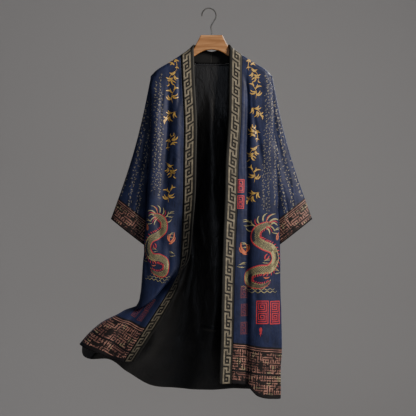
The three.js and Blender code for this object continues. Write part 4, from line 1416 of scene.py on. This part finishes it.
def large_motif():
    """Strokes of the large motif by colour: all that is sage, the scales, all that is red, and the flames."""
    body, scales, fins, belly = scaled_body()
    plumes, red_plumes, wisp = ([brush(*row) for row in rows] for rows in (PLUMES, RED_PLUMES, WISP))
    clouds = [stroke for x, y, size in CLOUDS for stroke in shifted(wisp, x, y, (size, abs(size)))]
    return {
        "sage": [body, *plumes, *clouds, *wave_strokes()],
        "dark": scales,
        "red": [*fins, belly, *red_plumes],
        "flame": [brush(*row) for row in FLAMES],
    }


MOTIF = large_motif()
# Seals are given as width, height, half the line and the gap from line to line
SMALL_SEAL = (24, 46, 1.3, 5.2)
FAINT_SEAL = (24, 42, 1.3, 5.2)
LARGE_SEAL = (42, 80, 1.6, 6.6)
SPRAY_SIZE = 1.04

# Where the prints lie on each front, in mm from the band's seam and at their height
LEFT_LAYOUT = {
    "sprays": (
        (37, -191),
        (44, -232),
        (47, -289),
        (50, -366),
        (46, -441),
        (51, -506),
        (54, -580),
        (58, -660),
    ),
    "leaves": ((88, -236, 90, -700), (104, -222, 106, -712), (124, -300, 132, -690), (146, -420, 152, -700)),
    "motif": (88, -858, (0.98, 0.98)),
    "small": ((10, -620), (11, -676)),
    "faint": ((35, -986), (37, -1048), (37, -1110)),
    "large": ((99, -1055), (146, -1057)),
    "drop": table_rows(
        STROKE_COLUMNS,
        (95, -1106, 258, 26, 2.6, 4),
        (93, -1106, 284, 25, 2.4, -4),
        (94, -1110, 270, 30, 1.2, 0),
    ),
}
RIGHT_LAYOUT = {
    "sprays": (
        (30, -191),
        (31, -243),
        (34, -304),
        (43, -381),
        (40, -471),
        (46, -565),
        (47, -650),
    ),
    "leaves": ((74, -232, 84, -668), (88, -262, 100, -640), (112, -330, 132, -600), (136, -430, 150, -600)),
    "motif": (76, -822, (0.7, 0.92)),
    "small": (),
    "faint": ((81, -1090), (47, -1053), (42, -1095)),
    "large": (),
    "drop": (),
}


def seals(places, kind):
    """Strokes of the seals of one kind."""
    return [stroke for place in places for stroke in shifted(seal(*kind), *place)]


def front_prints(side, surface, layout):
    """All prints of one front. Each colour lies a little prouder than the ones that it crosses."""
    motif = {colour: shifted(strokes, *layout["motif"]) for colour, strokes in MOTIF.items()}
    red = seals(layout["small"], SMALL_SEAL) + seals(layout["large"], LARGE_SEAL)
    red += [brush(*row) for row in layout["drop"]] + motif["red"]
    for ink, strokes, lift in (
        (gold_ink, spray_strokes(layout["sprays"], SPRAY_SIZE), 0),
        (grey_ink, leaf_strokes(layout["leaves"]), 0),
        (sage_ink, motif["sage"], 0),
        (dark_ink, motif["dark"], 0.2),
        (flame_ink, motif["flame"], 0.1),
        (red_ink, red, 0.3),
        (dull_red_ink, seals(layout["faint"], FAINT_SEAL), 0),
    ):
        name = f"{side['name']}_front_{ink.name}"
        print_mesh(name, surface, partial(front_place, side), strokes, ink, PRINT_PROUD + lift)


front_prints(LEFT, left_surface, LEFT_LAYOUT)
front_prints(RIGHT, right_surface, RIGHT_LAYOUT)

# Columns down the front of a sleeve: out from the hanger and height at both ends
SLEEVE_LEAVES = ((238, -296, 314, -660), (222, -330, 288, -700), (216, -430, 262, -740))
PLACE_STEPS = 14
PLACE_PROBE = 0.002
SHARE_LIMITS = (0.02, 0.97)
ALONG_LIMITS = (0.02, 0.98)


def sleeve_place(side, out, z):
    """Share and way along of the points on a sleeve's front that lie this far out and at this height.

    Newton's way: each step divides the miss by the slopes, which come from a small probe in each direction.
    """
    share, along = np.full(out.shape, 0.5), np.full(out.shape, 0.5)

    def seen(a, b):
        points = sleeve_point(side, a, -1, b)
        return side["sign"] * (points[..., 0] - HANG_X), points[..., 2]

    for _ in range(PLACE_STEPS):
        x0, z0 = seen(share, along)
        x1, z1 = seen(share + PLACE_PROBE, along)
        x2, z2 = seen(share, along + PLACE_PROBE)
        a, b = (x1 - x0) / PLACE_PROBE, (x2 - x0) / PLACE_PROBE
        c, d = (z1 - z0) / PLACE_PROBE, (z2 - z0) / PLACE_PROBE
        turned = a * d - b * c
        dx, dz = out - x0, z - z0
        share = np.clip(share + (d * dx - b * dz) / turned, *SHARE_LIMITS)
        along = np.clip(along + (a * dz - c * dx) / turned, *ALONG_LIMITS)
    return share, along


SLEEVE_LEAF = 7.8
for side, surface in ((LEFT, left_sleeve_surface), (RIGHT, right_sleeve_surface)):
    name = side["name"] + "_sleeve_grey_gold_ink"
    print_mesh(name, surface, partial(sleeve_place, side), leaf_strokes(SLEEVE_LEAVES, SLEEVE_LEAF), grey_ink)

# The columns on the back stand in pairs and spread a little downwards
BACK_LEAF = 8.0
BACK_LEAVES = tuple((x, -250, x * 1.06, -700) for x in (-150, -130, -60, -44, 44, 60, 130, 150))
print_mesh("back_grey_gold_ink", back_surface, back_place, leaf_strokes(BACK_LEAVES, BACK_LEAF), grey_ink)

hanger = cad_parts["hanger"]
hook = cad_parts["hook"]
for node, material in ((hanger, wood_material()), (hook, steel_material())):
    node.data.materials.clear()
    node.data.materials.append(material)

for piece, nodes, slot in (
    (left_front, ("left_front_upper", "left_front_lower"), "outer_cloth"),
    (right_front, ("right_front_upper", "right_front_lower"), "outer_cloth"),
    (back, ("back_upper", "back_lower"), "outer_cloth"),
    (back_lining, ("back_lining",), "lining"),
    (left_band, ("left_neckband", "left_collar"), "neckband"),
    (right_band, ("right_neckband", "right_collar"), "neckband"),
    (left_sleeve, ("left_sleeve_upper", "left_sleeve_lower"), "outer_cloth"),
    (right_sleeve, ("right_sleeve_upper", "right_sleeve_lower"), "outer_cloth"),
):
    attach(piece, "root")
    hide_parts(*nodes)

# Studio, in metres: a pale sweep of floor and wall, a soft key light, a weak fill and a light from behind
FLOOR_Z = -2.6
FLOOR_FRONT_Y = -6.0
WALL_Y = 5.2
WALL_TOP_Z = 5.0
SWEEP_RADIUS = 1.2
SWEEP_HALF = 8.0
WORLD_STRENGTH = 0.13


def studio_sweep():
    """Floor and wall in one sheet: a straight floor, a quarter turn and a straight wall."""
    turn = np.linspace(0, math.pi / 2, 24)
    bend_y = WALL_Y - SWEEP_RADIUS + SWEEP_RADIUS * np.sin(turn)
    bend_z = FLOOR_Z + SWEEP_RADIUS * (1 - np.cos(turn))
    y = np.concatenate([[FLOOR_FRONT_Y], bend_y, [WALL_Y]])
    z = np.concatenate([[FLOOR_Z], bend_z, [WALL_TOP_Z]])
    x = np.array([-SWEEP_HALF, SWEEP_HALF])
    points = np.stack(np.broadcast_arrays(x[None, :], y[:, None], z[:, None]), axis=-1)
    return make_mesh("studio_sweep", points.reshape(-1, 3) / MM, grid_faces(len(y), 2)[:, ::-1])


backdrop = studio_sweep()
backdrop.data.materials.append(new_material("studio_paper", Roughness=0.9, Base_Color=linear("#b9b9bb"))[0])

world = bpy.data.worlds.new("studio")
world.use_nodes = True
world.node_tree.nodes["Background"].inputs["Color"].default_value = linear("#dfe4ee")
world.node_tree.nodes["Background"].inputs["Strength"].default_value = WORLD_STRENGTH
bpy.context.scene.world = world


def area_light(name, place, target, size, power, colour):
    """A square soft light at place, aimed at target."""
    lamp = bpy.data.lights.new(name, "AREA")
    lamp.size = size
    lamp.energy = power
    lamp.color = linear(colour)[:3]
    light = bpy.data.objects.new(name, lamp)
    way = np.array(target, float) - np.array(place, float)
    light.location = place
    light.rotation_euler = (math.atan2(math.hypot(way[0], way[1]), -way[2]), 0, math.atan2(-way[0], way[1]))
    bpy.context.scene.collection.objects.link(light)


area_light("key", (2.1, -1.5, 0.9), (0, 0, -0.5), size=0.8, power=172, colour="#fff6ea")
area_light("fill", (0.3, -3.6, -0.3), (0, 0, -0.7), size=0.9, power=11, colour="#e9efff")
area_light("rim", (1.6, 2.2, 0.7), (0, 0, -0.6), size=0.9, power=60, colour="#ffffff")

# Camera: level with the middle of the picture, whose width is that of the view in the hanger's plane
CAMERA_DISTANCE = 3.6
VIEW_WIDTH = 1.456
VIEW_X, VIEW_Z = -0.0035, -0.6965
SENSOR_WIDTH = 36
camera_data = bpy.data.cameras.new("camera")
camera_data.sensor_width = SENSOR_WIDTH
camera_data.lens = SENSOR_WIDTH * CAMERA_DISTANCE / VIEW_WIDTH
camera = bpy.data.objects.new("camera", camera_data)
camera.location = (VIEW_X, -CAMERA_DISTANCE, VIEW_Z)
camera.rotation_euler = (math.pi / 2, 0, 0)
bpy.context.scene.collection.objects.link(camera)
bpy.context.scene.camera = camera
